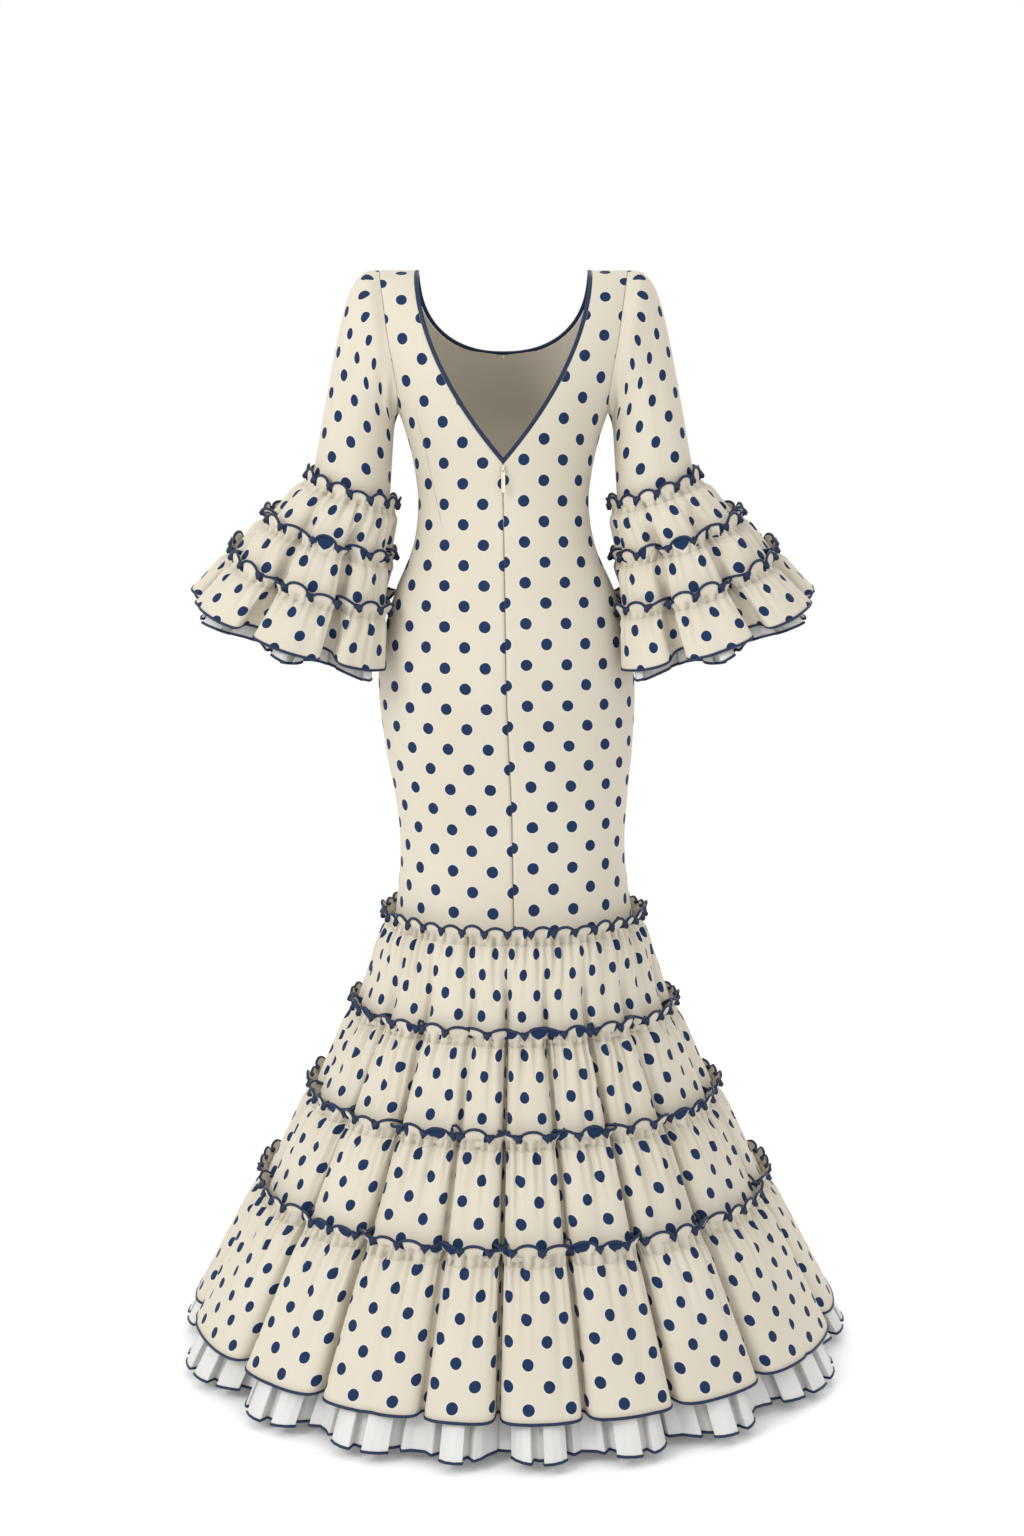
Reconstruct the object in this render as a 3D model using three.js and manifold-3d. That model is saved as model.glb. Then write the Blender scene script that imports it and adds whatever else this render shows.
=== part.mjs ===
// A worn flamenco dress: sheath with a deep V back, four gathered skirt tiers over a pleated
// under-ruffle, and elbow sleeves with three gathered flounces each.
// Millimetres, +Z up. The wearer faces -Y, +X is the wearer's left, and the origin is midway
// between the two shoulder seams, where the dress hangs on the wearer.
import * as THREE from 'three';
import { mergeVertices } from 'three/addons/utils/BufferGeometryUtils.js';
import Module from 'manifold-3d';

const wasm = await Module();
wasm.setup();

// ---- driving dimensions ----
const CLOTH = 1.5; // wall of the dress cloth
const THIN_CLOTH = 1.2; // wall of the pleated under-ruffles
const SEAM_GAP = 0.3; // between two pieces at a seam
const SECTION_POWER = 2.2; // roundness of the body sections, 2 is an ellipse
const UNDERARM_Z = -188;
const SHEATH_HEM_Z = -876;

// The neckline: power bends its sides, round rounds its lowest point.
const NECK = {
  halfWidth: 118,
  back: { drop: 258, power: 1.91, round: 1 },
  front: { drop: 104, power: 2.3, round: 2.3 },
};
const BINDING = { width: 5.5, thickness: 2.4, proud: 0.5, longestMitre: 2 };

// The body: half width, depth behind and in front of the side seam, sideways sway of the middle.
const BODY_SECTIONS = [
  { z: 0, halfWidth: 205, back: 0, front: 0, sway: 0 },
  { z: -12, halfWidth: 201, back: 36, front: 33, sway: 0 },
  { z: -32, halfWidth: 197, back: 60, front: 54, sway: 0 },
  { z: -62, halfWidth: 192, back: 80, front: 74, sway: 0 },
  { z: -98, halfWidth: 183, back: 93, front: 94, sway: 0 },
  { z: -140, halfWidth: 162, back: 98, front: 115, sway: 0 },
  { z: UNDERARM_Z, halfWidth: 140, back: 96, front: 128, sway: 0 },
  { z: -224, halfWidth: 128, back: 89, front: 122, sway: 0 },
  { z: -265, halfWidth: 119, back: 79, front: 106, sway: 0 },
  { z: -310, halfWidth: 115, back: 74, front: 96, sway: 0 },
  { z: -365, halfWidth: 123, back: 84, front: 98, sway: -1 },
  { z: -425, halfWidth: 148, back: 102, front: 104, sway: -2 },
  { z: -485, halfWidth: 166, back: 115, front: 109, sway: -3 },
  { z: -547, halfWidth: 174, back: 119, front: 112, sway: -4 },
  { z: -630, halfWidth: 169, back: 111, front: 115, sway: -7 },
  { z: -712, halfWidth: 158, back: 108, front: 118, sway: -11 },
  { z: -765, halfWidth: 154, back: 114, front: 121, sway: -12 },
  { z: -820, halfWidth: 157, back: 131, front: 134, sway: -13 },
  { z: SHEATH_HEM_Z, halfWidth: 164, back: 159, front: 159, sway: -14 },
];

// The heights at which the panels have a row of corners.
const ARMHOLE_ROWS_Z = [0, -12, -32, -62, -98, -136, -166, UNDERARM_Z];
const BACK_NECK_ROWS_Z = [-224, -NECK.back.drop];
const FRONT_NECK_ROWS_Z = [-84, -NECK.front.drop];
const LOWER_ROWS_Z = [-310, -365, -425, -485, -547, -630, -712, -820, SHEATH_HEM_Z];
const PANEL_COLUMNS = 4;

// The armhole seam: how far it lies from the middle of the body at each height.
const ARMHOLE_GAP = 0.6; // sideways, so that the slanted seam keeps its own gap
const ARMHOLE_SEAM = [
  { z: 0, back: 165, front: 165 },
  { z: -45, back: 158, front: 155 },
  { z: -95, back: 151, front: 145 },
  { z: -140, back: 143, front: 137 },
  { z: -165, back: 140, front: 136 },
  { z: UNDERARM_Z, back: 140, front: 140 },
];

// The skirt's gather lines and its hem. flute is how far a valley lies inside the crests, bulge
// how far the cloth springs out just below the gathers.
const SKIRT = { x: -14, y: 0, headingHeight: 13, headingFlare: 3, bulgeShare: 0.2, overlap: 4 };
const SKIRT_LINES = [
  { z: -873, crest: 174.5, flute: 2, bulge: 0 },
  { z: -996, crest: 222, flute: 9, bulge: 8 },
  { z: -1114, crest: 282, flute: 13, bulge: 9 },
  { z: -1239, crest: 351, flute: 17, bulge: 10 },
  { z: -1410, crest: 448, flute: 29, bulge: 0 },
];
// Where the valleys lie, in degrees from the middle of the back round by the left side.
const VALLEYS_DEG = [2.7, 15.1, 34, 53.5, 82, 110, 138, 166, 194, 222, 252, 283, 314, 332.6, 348.4];
const VALLEY_HALF_WIDTH_DEG = 4.5;
const UNDER_RUFFLE = { topZ: -1300, hemZ: -1452, topInset: 2.2, hemInset: 6 };

// The left sleeve from shoulder to elbow: the outer and inner ends of each ring.
const SLEEVE_RINGS = [
  { outerX: 186, outerZ: -4, innerX: 143.5, innerZ: -195, halfDepth: 60, y: 0 },
  { outerX: 206, outerZ: -32, innerX: 146, innerZ: -206, halfDepth: 57, y: -1 },
  { outerX: 226, outerZ: -110, innerX: 148, innerZ: -222, halfDepth: 53, y: -2 },
  { outerX: 258, outerZ: -279, innerX: 154, innerZ: -314, halfDepth: 55, y: -2 },
];
// Gather lines and hem of the left sleeve's flounces. rise is how much each ring climbs
// outwards and fall how much it drops behind, in degrees.
const FLOUNCE_RINGS = [
  { x: 206.5, y: -2, z: -298, radius: 60, rise: 18.5, fall: 6, flute: 1 },
  { x: 237, y: 5, z: -358, radius: 90, rise: 18, fall: 8, flute: 5 },
  { x: 256, y: 13, z: -413, radius: 118, rise: 18, fall: 11, flute: 8 },
  { x: 280, y: 21, z: -471, radius: 150, rise: 19, fall: 10, flute: 17 },
];
const FLOUNCE = { headingHeight: 12, headingFlare: 2.5, layerStep: 2.6, bodyRoom: 10 };
const FLOUNCE_VALLEYS_DEG = [14, 66, 114, 168, 215, 262, 312];
const FLOUNCE_VALLEY_HALF_WIDTH_DEG = 10;
const SLEEVE_UNDER = { from: 2.5, to: 3.26, inset: 7 };

const EDGE = { halfWidth: 1.2, height: 2.4, gap: 0.45 }; // navy edging along a ruffle

const ZIP_TAPE = { halfWidth: 6, thickness: 1, lowestZ: -547 };
const SLIDER = {
  z: -263,
  width: 5,
  height: 9,
  base: 1.2,
  bridgeWidth: 2.2,
  bridgeWall: 1,
  opening: 2.6,
  chamfer: 1.15,
  standOff: 0.5,
};
const PULL = {
  width: 5.4,
  shoulderWidth: 4.8,
  length: 31,
  thickness: 1.2,
  bar: 0.6, // from the hinge line to the top of the ring
  hole: { halfWidth: 1.6, length: 3.7 },
  tipSteps: 6,
};

// ---- materials ----
function clothMaterial() {
  return new THREE.MeshStandardMaterial({ color: 0xe6dccb, roughness: 0.85, metalness: 0 });
}

function navyMaterial() {
  return new THREE.MeshStandardMaterial({ color: 0x22334f, roughness: 0.6, metalness: 0 });
}

function organzaMaterial() {
  return new THREE.MeshStandardMaterial({ color: 0xe9e8e4, roughness: 0.7, metalness: 0 });
}

function enamelMaterial() {
  return new THREE.MeshStandardMaterial({ color: 0xe4dac6, roughness: 0.4, metalness: 0.1 });
}

// ---- numbers ----
const radians = THREE.MathUtils.degToRad;
const lerp = THREE.MathUtils.lerp;

function hermite(start, end, slopeIn, slopeOut, t) {
  const t2 = t * t;
  const t3 = t2 * t;
  const fromStart = (2 * t3 - 3 * t2 + 1) * start + (t3 - 2 * t2 + t) * slopeIn;
  return fromStart + (3 * t2 - 2 * t3) * end + (t3 - t2) * slopeOut;
}

// One column of a table at any height, on a smooth curve through its rows.
function tableValue(table, key, z) {
  const lowest = table.length - 2;
  const found = table.findIndex((row) => z > row.z) - 1;
  const i = found < 0 ? (z > table[0].z ? 0 : lowest) : found;
  const [upper, lower] = [table[i], table[i + 1]];
  const before = table[Math.max(i - 1, 0)];
  const after = table[Math.min(i + 2, table.length - 1)];
  const span = upper.z - lower.z;
  const slopeIn = ((lower[key] - before[key]) / (before.z - lower.z)) * span;
  const slopeOut = ((after[key] - upper[key]) / (upper.z - after.z)) * span;
  const t = THREE.MathUtils.clamp((upper.z - z) / span, 0, 1);
  return hermite(upper[key], lower[key], slopeIn, slopeOut, t);
}

// Two rows of a table mixed, every column.
function mixRows(from, to, share) {
  const mixed = {};
  for (const key of Object.keys(from)) mixed[key] = lerp(from[key], to[key], share);
  return mixed;
}

// ---- shells ----
// Unit normals of a grid, pointing out when its columns run anticlockwise from above.
function gridNormals(grid, closed) {
  const lastRow = grid.length - 1;
  const columns = grid[0].length;
  return grid.map((row, r) =>
    row.map((_, c) => {
      const right = closed ? (c + 1) % columns : Math.min(c + 1, columns - 1);
      const left = closed ? (c + columns - 1) % columns : Math.max(c - 1, 0);
      const across = new THREE.Vector3().subVectors(row[right], row[left]);
      const upper = grid[Math.max(r - 1, 0)][c];
      const lower = grid[Math.min(r + 1, lastRow)][c];
      return new THREE.Vector3().subVectors(lower, upper).cross(across).normalize();
    }),
  );
}

function offsetGrid(grid, normals, distance) {
  return grid.map((row, r) =>
    row.map((point, c) => point.clone().addScaledVector(normals[r][c], distance)),
  );
}

function signedVolume(points, index) {
  let volume = 0;
  for (let i = 0; i < index.length; i += 3) {
    const [a, b, c] = index.slice(i, i + 3).map((k) => points[k]);
    volume += a.dot(new THREE.Vector3().crossVectors(b, c)) / 6;
  }
  return volume;
}

function indexedGeometry(points, index) {
  const geometry = new THREE.BufferGeometry();
  const flat = points.flatMap((point) => [point.x, point.y, point.z]);
  geometry.setAttribute('position', new THREE.Float32BufferAttribute(flat, 3));
  geometry.setIndex(signedVolume(points, index) > 0 ? index : index.toReversed());
  geometry.computeVertexNormals();
  return geometry;
}

// A closed wall between two grids of points that share their rows and columns.
function wallGeometry(outer, inner, closed) {
  const rows = outer.length;
  const columns = outer[0].length;
  const index = [];
  const at = (side, r, c) => side * rows * columns + r * columns + (c % columns);
  const quad = (a, b, c, d) => index.push(a, b, c, a, c, d);
  const spans = closed ? columns : columns - 1;
  const end = rows - 1;
  for (let c = 0; c < spans; c += 1) {
    for (let r = 0; r < end; r += 1) {
      quad(at(0, r, c), at(0, r + 1, c), at(0, r + 1, c + 1), at(0, r, c + 1));
      quad(at(1, r, c), at(1, r, c + 1), at(1, r + 1, c + 1), at(1, r + 1, c));
    }
    quad(at(0, 0, c), at(0, 0, c + 1), at(1, 0, c + 1), at(1, 0, c));
    quad(at(0, end, c), at(1, end, c), at(1, end, c + 1), at(0, end, c + 1));
  }
  const side = columns - 1;
  for (let r = 0; r < end && !closed; r += 1) {
    quad(at(0, r, 0), at(1, r, 0), at(1, r + 1, 0), at(0, r + 1, 0));
    quad(at(0, r, side), at(0, r + 1, side), at(1, r + 1, side), at(1, r, side));
  }
  return indexedGeometry([...outer.flat(), ...inner.flat()], index);
}

// A closed ring: each loop runs along it, and the loops go round its section.
function ringGeometry(loops) {
  const count = loops[0].length;
  const index = [];
  loops.forEach((_, s) => {
    const next = (s + 1) % loops.length;
    for (let c = 0; c < count; c += 1) {
      const across = (c + 1) % count;
      const near = [s * count + c, next * count + c];
      const far = [next * count + across, s * count + across];
      index.push(near[0], near[1], far[0], near[0], far[0], far[1]);
    }
  });
  return indexedGeometry(loops.flat(), index);
}

// A tube of cloth with the grid as its outer face.
function clothTube(grid, thickness) {
  return wallGeometry(grid, offsetGrid(grid, gridNormals(grid, true), -thickness), true);
}

// Edging with a triangular section along the first or last row of a tube of cloth.
function edgeRing(grid, atTop, thickness) {
  const row = atTop ? 0 : grid.length - 1;
  const neighbour = atTop ? 1 : grid.length - 2;
  const normals = gridNormals(grid, true)[row];
  const place = (along, across) =>
    grid[row].map((point, c) => {
      const away = new THREE.Vector3().subVectors(point, grid[neighbour][c]).normalize();
      const middle = point.clone().addScaledVector(normals[c], across - thickness / 2);
      return middle.addScaledVector(away, along);
    });
  return ringGeometry([
    place(EDGE.gap, EDGE.halfWidth),
    place(EDGE.gap, -EDGE.halfWidth),
    place(EDGE.gap + EDGE.height, 0),
  ]);
}

function mirrored(geometry) {
  const copy = geometry.clone().scale(-1, 1, 1);
  copy.setIndex(Array.from(geometry.index.array).toReversed());
  copy.computeVertexNormals();
  return copy;
}

// ---- booleans ----
function asManifold(geometry) {
  const bare = geometry.clone();
  bare.deleteAttribute('normal');
  bare.deleteAttribute('uv');
  const merged = mergeVertices(bare);
  const mesh = new wasm.Mesh({
    numProp: 3,
    vertProperties: new Float32Array(merged.attributes.position.array),
    triVerts: new Uint32Array(merged.index.array),
  });
  return new wasm.Manifold(mesh);
}

function joined(first, second) {
  const mesh = asManifold(first).add(asManifold(second)).getMesh();
  const geometry = new THREE.BufferGeometry();
  geometry.setAttribute('position', new THREE.BufferAttribute(mesh.vertProperties, 3));
  geometry.setIndex(new THREE.BufferAttribute(mesh.triVerts, 1));
  geometry.computeVertexNormals();
  return geometry;
}

// ---- the body ----
// side is 'back' (+Y) or 'front' (-Y).
const sideSign = { back: 1, front: -1 };

function bodyDepth(z, x, side) {
  const depth = tableValue(BODY_SECTIONS, side, z);
  const share = Math.min(Math.abs(x) / tableValue(BODY_SECTIONS, 'halfWidth', z), 1);
  return sideSign[side] * depth * (1 - share ** SECTION_POWER) ** (1 / SECTION_POWER);
}

// How far the body reaches sideways at this depth, with room round it, on its wider side.
function bodyReach(z, y, room) {
  const depth = tableValue(BODY_SECTIONS, y > 0 ? 'back' : 'front', z) + room;
  const share = Math.min(Math.abs(y) / depth, 1);
  const halfWidth = tableValue(BODY_SECTIONS, 'halfWidth', z) + room;
  const sway = Math.abs(tableValue(BODY_SECTIONS, 'sway', z));
  return sway + halfWidth * (1 - share ** SECTION_POWER) ** (1 / SECTION_POWER);
}

function neckHalfWidth(z, side) {
  const { drop, power, round } = NECK[side];
  const share = Math.min(-z / drop, 1);
  return NECK.halfWidth * (1 - share ** power) ** (1 / round);
}

// From the middle to the armhole, or below the underarm to the side seam.
function panelHalfWidth(z, side) {
  if (z > UNDERARM_Z) return tableValue(ARMHOLE_SEAM, side, z);
  return tableValue(BODY_SECTIONS, 'halfWidth', z);
}

// Corners of a panel between two distances from the middle, closer where the section turns.
function panelRow(z, side, from, to) {
  const halfWidth = tableValue(BODY_SECTIONS, 'halfWidth', z);
  const angleOf = (x) => Math.asin(THREE.MathUtils.clamp(x / halfWidth, -1, 1));
  const columns = Array.from({ length: PANEL_COLUMNS }, (_, c) => c / (PANEL_COLUMNS - 1));
  return columns.map((share) => {
    const x = halfWidth * Math.sin(lerp(angleOf(from), angleOf(to), share));
    const y = bodyDepth(z, x, side) + sideSign[side] * (SEAM_GAP / 2);
    return new THREE.Vector3(tableValue(BODY_SECTIONS, 'sway', z) + x, y, z);
  });
}

// Half of the back or the front. hand is +1 on the wearer's left. Its columns run
// anticlockwise from above, and at a seam the wall is square to the seam.
function panelGrids(side, hand, middleGap) {
  const neckRows = side === 'back' ? BACK_NECK_ROWS_Z : FRONT_NECK_ROWS_Z;
  const heights = [...ARMHOLE_ROWS_Z, ...neckRows, ...LOWER_ROWS_Z].sort((a, b) => b - a);
  const forwards = sideSign[side] * hand < 0;
  const outer = heights.map((z) => {
    const inner = Math.max(neckHalfWidth(z, side), middleGap);
    const row = panelRow(z, side, hand * inner, hand * panelHalfWidth(z, side));
    return forwards ? row : row.reverse();
  });
  const normals = gridNormals(outer, false);
  const middle = forwards ? 0 : PANEL_COLUMNS - 1;
  const edge = PANEL_COLUMNS - 1 - middle;
  normals[0].forEach((normal) => normal.setY(0).normalize());
  normals.forEach((row, r) => {
    if (heights[r] <= UNDERARM_Z) row[edge].setY(0).normalize();
    if (heights[r] <= -NECK[side].drop) row[middle].setX(0).normalize();
  });
  return { heights, outer, normals, middle, inner: offsetGrid(outer, normals, -CLOTH) };
}

function backPanel(hand) {
  const { outer, inner } = panelGrids('back', hand, SEAM_GAP / 2);
  return wallGeometry(outer, inner, false);
}

// The front is cut in one piece, on the fold.
function frontPanel() {
  const halves = [-1, 1].map((hand) => {
    const { outer, inner } = panelGrids('front', hand, 0);
    return wallGeometry(outer, inner, false);
  });
  return joined(halves[0], halves[1]);
}

// The binding follows the corners of the panels' neck edges, from the point of the V over the
// left shoulder to the middle of the front, and back on the right.
function neckCorners() {
  const corners = (side) => {
    const { heights, outer, normals, middle } = panelGrids(side, 1, 0);
    const upper = heights.filter((z) => z >= -NECK[side].drop);
    return upper.map((_, r) => ({ point: outer[r][middle], normal: normals[r][middle] }));
  };
  const left = [...corners('back').reverse(), ...corners('front').slice(1)];
  const flipped = ({ point, normal }) => ({
    point: point.clone().setX(-point.x),
    normal: normal.clone().setX(-normal.x),
  });
  return [...left, ...left.slice(1, -1).reverse().map(flipped)];
}

function neckBinding() {
  const corners = neckCorners();
  const count = corners.length;
  const place = (across, out) =>
    corners.map(({ point, normal }, i) => {
      const next = corners[(i + 1) % count].point;
      const previous = corners[(i + count - 1) % count].point;
      const ahead = new THREE.Vector3().subVectors(next, point).normalize();
      const behind = new THREE.Vector3().subVectors(point, previous).normalize();
      const along = ahead.clone().add(behind).normalize();
      const mitre = Math.min(1 / along.dot(ahead), BINDING.longestMitre);
      const inwards = new THREE.Vector3().crossVectors(along, normal).normalize();
      return point.clone().addScaledVector(inwards, across * mitre).addScaledVector(normal, out);
    });
  const near = SEAM_GAP;
  const far = SEAM_GAP + BINDING.width;
  const top = BINDING.proud;
  const bottom = BINDING.proud - BINDING.thickness;
  return ringGeometry([place(near, top), place(far, top), place(far, bottom), place(near, bottom)]);
}

// ---- sleeves ----
// Angles run from the outer end of a ring round by the back.
function armholeLoop() {
  const corner = (z, side) => {
    const row = panelRow(z, side, 0, panelHalfWidth(z, side));
    return row[PANEL_COLUMNS - 1].clone().add(new THREE.Vector3(ARMHOLE_GAP, 0, 0));
  };
  const back = ARMHOLE_ROWS_Z.map((z) => corner(z, 'back'));
  const front = ARMHOLE_ROWS_Z.slice(1, -1).map((z) => corner(z, 'front'));
  back[0].y = 0;
  back[back.length - 1].y = 0;
  return [...back, ...front.reverse()];
}

function sleeveGrid() {
  const armhole = armholeLoop();
  const angles = armhole.map((_, c) => (2 * Math.PI * c) / armhole.length);
  const rings = SLEEVE_RINGS.map((ring) => {
    const outer = new THREE.Vector3(ring.outerX, ring.y, ring.outerZ);
    const inner = new THREE.Vector3(ring.innerX, ring.y, ring.innerZ);
    const middle = outer.clone().add(inner).divideScalar(2);
    const arm = outer.clone().sub(middle);
    return angles.map((angle) => {
      const point = middle.clone().addScaledVector(arm, Math.cos(angle));
      return point.add(new THREE.Vector3(0, ring.halfDepth * Math.sin(angle), 0));
    });
  });
  return [armhole, ...rings];
}

// ---- ruffles ----
// Three columns for each flute: its valley and the two shoulders of the crest beside it.
function fluteColumns(valleys, halfWidth) {
  return valleys.flatMap((valley, i) => {
    const next = valleys[i + 1] ?? valleys[0] + 360;
    return [
      { angle: radians(valley), depth: 1 },
      { angle: radians(valley + halfWidth), depth: 0 },
      { angle: radians(next - halfWidth), depth: 0 },
    ];
  });
}

// The skirt's columns run anticlockwise from above, and their angles the other way.
const skirtColumns = fluteColumns(VALLEYS_DEG, VALLEY_HALF_WIDTH_DEG).reverse();
const flounceColumns = fluteColumns(FLOUNCE_VALLEYS_DEG, FLOUNCE_VALLEY_HALF_WIDTH_DEG);

// Radius of a tier's outer face in one column at height z: straight from the bulge to the hem.
function tierRadius(tier, column, z) {
  const line = SKIRT_LINES[tier];
  const next = SKIRT_LINES[tier + 1];
  const layer = tier + 2 < SKIRT_LINES.length ? CLOTH + SEAM_GAP : 0;
  const start = mixRows(line, next, SKIRT.bulgeShare);
  const startRadius = start.crest + line.bulge - start.flute * column.depth;
  const hemRadius = next.crest - layer - next.flute * column.depth;
  return lerp(startRadius, hemRadius, (start.z - z) / (start.z - next.z));
}

function skirtPoint(column, radius, z) {
  const x = SKIRT.x + radius * Math.sin(column.angle);
  return new THREE.Vector3(x, SKIRT.y + radius * Math.cos(column.angle), z);
}

// Heading top, gather line, bulge and hem of one tier. Each tier lies on the one above it.
function tierRows(tier) {
  const line = SKIRT_LINES[tier];
  const next = SKIRT_LINES[tier + 1];
  const isLast = tier + 2 === SKIRT_LINES.length;
  const top = line.z + SKIRT.headingHeight;
  const hem = next.z - (isLast ? 0 : SKIRT.overlap);
  const bulgeZ = lerp(line.z, next.z, SKIRT.bulgeShare);
  const onLayer = (column, z) => {
    if (tier === 0) return line.crest - line.flute * column.depth;
    return tierRadius(tier - 1, column, z) + SEAM_GAP + CLOTH;
  };
  const heading = (column) => skirtPoint(column, onLayer(column, top) + SKIRT.headingFlare, top);
  const gathers = (column) => skirtPoint(column, onLayer(column, line.z), line.z);
  const bulge = (column) => skirtPoint(column, tierRadius(tier, column, bulgeZ), bulgeZ);
  const bottom = (column) => skirtPoint(column, tierRadius(tier, column, hem), hem);
  const rows = tier === 0 ? [heading, gathers, bottom] : [heading, gathers, bulge, bottom];
  return rows.map((row) => skirtColumns.map(row));
}

// Its walls are level with the skirt's middle, so that nested tiers keep their gap.
function tierWall(rows) {
  const inner = rows.map((row) =>
    row.map((point) => {
      const out = new THREE.Vector3(point.x - SKIRT.x, point.y - SKIRT.y, 0).normalize();
      return point.clone().addScaledVector(out, -CLOTH);
    }),
  );
  return wallGeometry(rows, inner, true);
}

function underRuffleRows() {
  const last = SKIRT_LINES.length - 2;
  const row = (z, inset) =>
    skirtColumns.map((column) => skirtPoint(column, tierRadius(last, column, z) - inset, z));
  return [
    row(UNDER_RUFFLE.topZ, CLOTH + UNDER_RUFFLE.topInset),
    row(UNDER_RUFFLE.hemZ, CLOTH + UNDER_RUFFLE.hemInset),
  ];
}

// One ring of a flounce, at a place along the chain of gather lines, such as 1.5 between the
// second and third. extra widens it and lift raises it along the sleeve.
function flounceRing(place, extra, lift) {
  const i = Math.min(Math.floor(place), FLOUNCE_RINGS.length - 2);
  const ring = mixRows(FLOUNCE_RINGS[i], FLOUNCE_RINGS[i + 1], place - i);
  const rise = radians(ring.rise);
  const fall = radians(ring.fall);
  const outwards = new THREE.Vector3(Math.cos(rise), 0, Math.sin(rise));
  const backwards = new THREE.Vector3(0, Math.cos(fall), -Math.sin(fall));
  const upwards = new THREE.Vector3().crossVectors(outwards, backwards).normalize();
  const middle = new THREE.Vector3(ring.x, ring.y, ring.z).addScaledVector(upwards, lift);
  return flounceColumns.map(({ angle, depth }) => {
    const radius = ring.radius + extra - ring.flute * depth;
    const point = middle.clone().addScaledVector(outwards, radius * Math.cos(angle));
    point.addScaledVector(backwards, radius * Math.sin(angle));
    return pushedClear(point, FLOUNCE.bodyRoom - extra);
  });
}

// Where the hip is in the way, the cloth is pressed outwards to lie just clear of it.
function pushedClear(point, room) {
  const reach = bodyReach(point.z, point.y, room);
  return point.x < reach ? point.clone().setX(reach) : point;
}

// Heading top, gather line and hem of one flounce.
function flounceRows(number) {
  return [
    flounceRing(number, FLOUNCE.layerStep + FLOUNCE.headingFlare, FLOUNCE.headingHeight),
    flounceRing(number, FLOUNCE.layerStep, 0),
    flounceRing(number + 1, 0, 0),
  ];
}

function sleeveUnderRows() {
  return [
    flounceRing(SLEEVE_UNDER.from, -SLEEVE_UNDER.inset, 0),
    flounceRing(SLEEVE_UNDER.to, -SLEEVE_UNDER.inset, 0),
  ];
}

// ---- the zip ----
// The tape lies inside the back, across the middle seam.
function zipTape() {
  const [left, right] = [1, -1].map((hand) => panelGrids('back', hand, SEAM_GAP / 2));
  const onPanel = (panel, r, offset) => {
    const near = panel.inner[r][panel.middle];
    const far = panel.inner[r][panel.middle + (panel.middle === 0 ? 1 : -1)];
    const middleX = tableValue(BODY_SECTIONS, 'sway', panel.heights[r]);
    return near.clone().lerp(far, (middleX + offset - near.x) / (far.x - near.x));
  };
  const grid = [];
  left.heights.forEach((z, r) => {
    if (z > -NECK.back.drop || z < ZIP_TAPE.lowestZ) return;
    const middleX = tableValue(BODY_SECTIONS, 'sway', z);
    const middle = left.inner[r][left.middle].clone().setX(middleX);
    const leftEdge = onPanel(left, r, ZIP_TAPE.halfWidth);
    const rightEdge = onPanel(right, r, -ZIP_TAPE.halfWidth);
    grid.push([leftEdge, middle, rightEdge]);
  });
  const normals = gridNormals(grid, false);
  const outer = offsetGrid(grid, normals, -SEAM_GAP);
  return wallGeometry(outer, offsetGrid(outer, normals, -ZIP_TAPE.thickness), false);
}

// The slope of the back's middle between the two rows round the slider.
function sliderSeat() {
  const upperZ = -NECK.back.drop;
  const lowerZ = LOWER_ROWS_Z[0];
  const upperY = bodyDepth(upperZ, 0, 'back');
  const lowerY = bodyDepth(lowerZ, 0, 'back');
  const share = (upperZ - SLIDER.z) / (upperZ - lowerZ);
  const lean = Math.atan2(upperY - lowerY, upperZ - lowerZ);
  return { y: lerp(upperY, lowerY, share) + SEAM_GAP / 2, lean };
}

// A base plate with a bridge over it, seen from the side as a hoop, and joined to the plate.
// In its own frame +Y points away from the cloth and the hinge line is the middle of the hoop.
const hingeHeight = SLIDER.base + SLIDER.opening / 2;

function sliderGeometry() {
  const reach = SLIDER.opening / 2 + SLIDER.bridgeWall;
  const corner = reach - SLIDER.chamfer;
  const hoop = new THREE.Shape();
  hoop.moveTo(-hingeHeight, -reach);
  hoop.lineTo(corner, -reach);
  hoop.lineTo(reach, -corner);
  hoop.lineTo(reach, corner);
  hoop.lineTo(corner, reach);
  hoop.lineTo(-hingeHeight, reach);
  const opening = new THREE.Path();
  const half = SLIDER.opening / 2;
  opening.moveTo(-half, -half);
  opening.lineTo(-half, half);
  opening.lineTo(half, half);
  opening.lineTo(half, -half);
  hoop.holes.push(opening);
  const bridge = new THREE.ExtrudeGeometry(hoop, { depth: SLIDER.bridgeWidth, bevelEnabled: false });
  bridge.translate(0, 0, -SLIDER.bridgeWidth / 2);
  bridge.applyMatrix4(
    new THREE.Matrix4().makeBasis(
      new THREE.Vector3(0, 1, 0),
      new THREE.Vector3(0, 0, 1),
      new THREE.Vector3(1, 0, 0),
    ),
  );
  const base = new THREE.BoxGeometry(SLIDER.width, SLIDER.base, SLIDER.height);
  base.translate(0, -hingeHeight + SLIDER.base / 2, 0);
  return joined(base, bridge);
}

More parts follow.
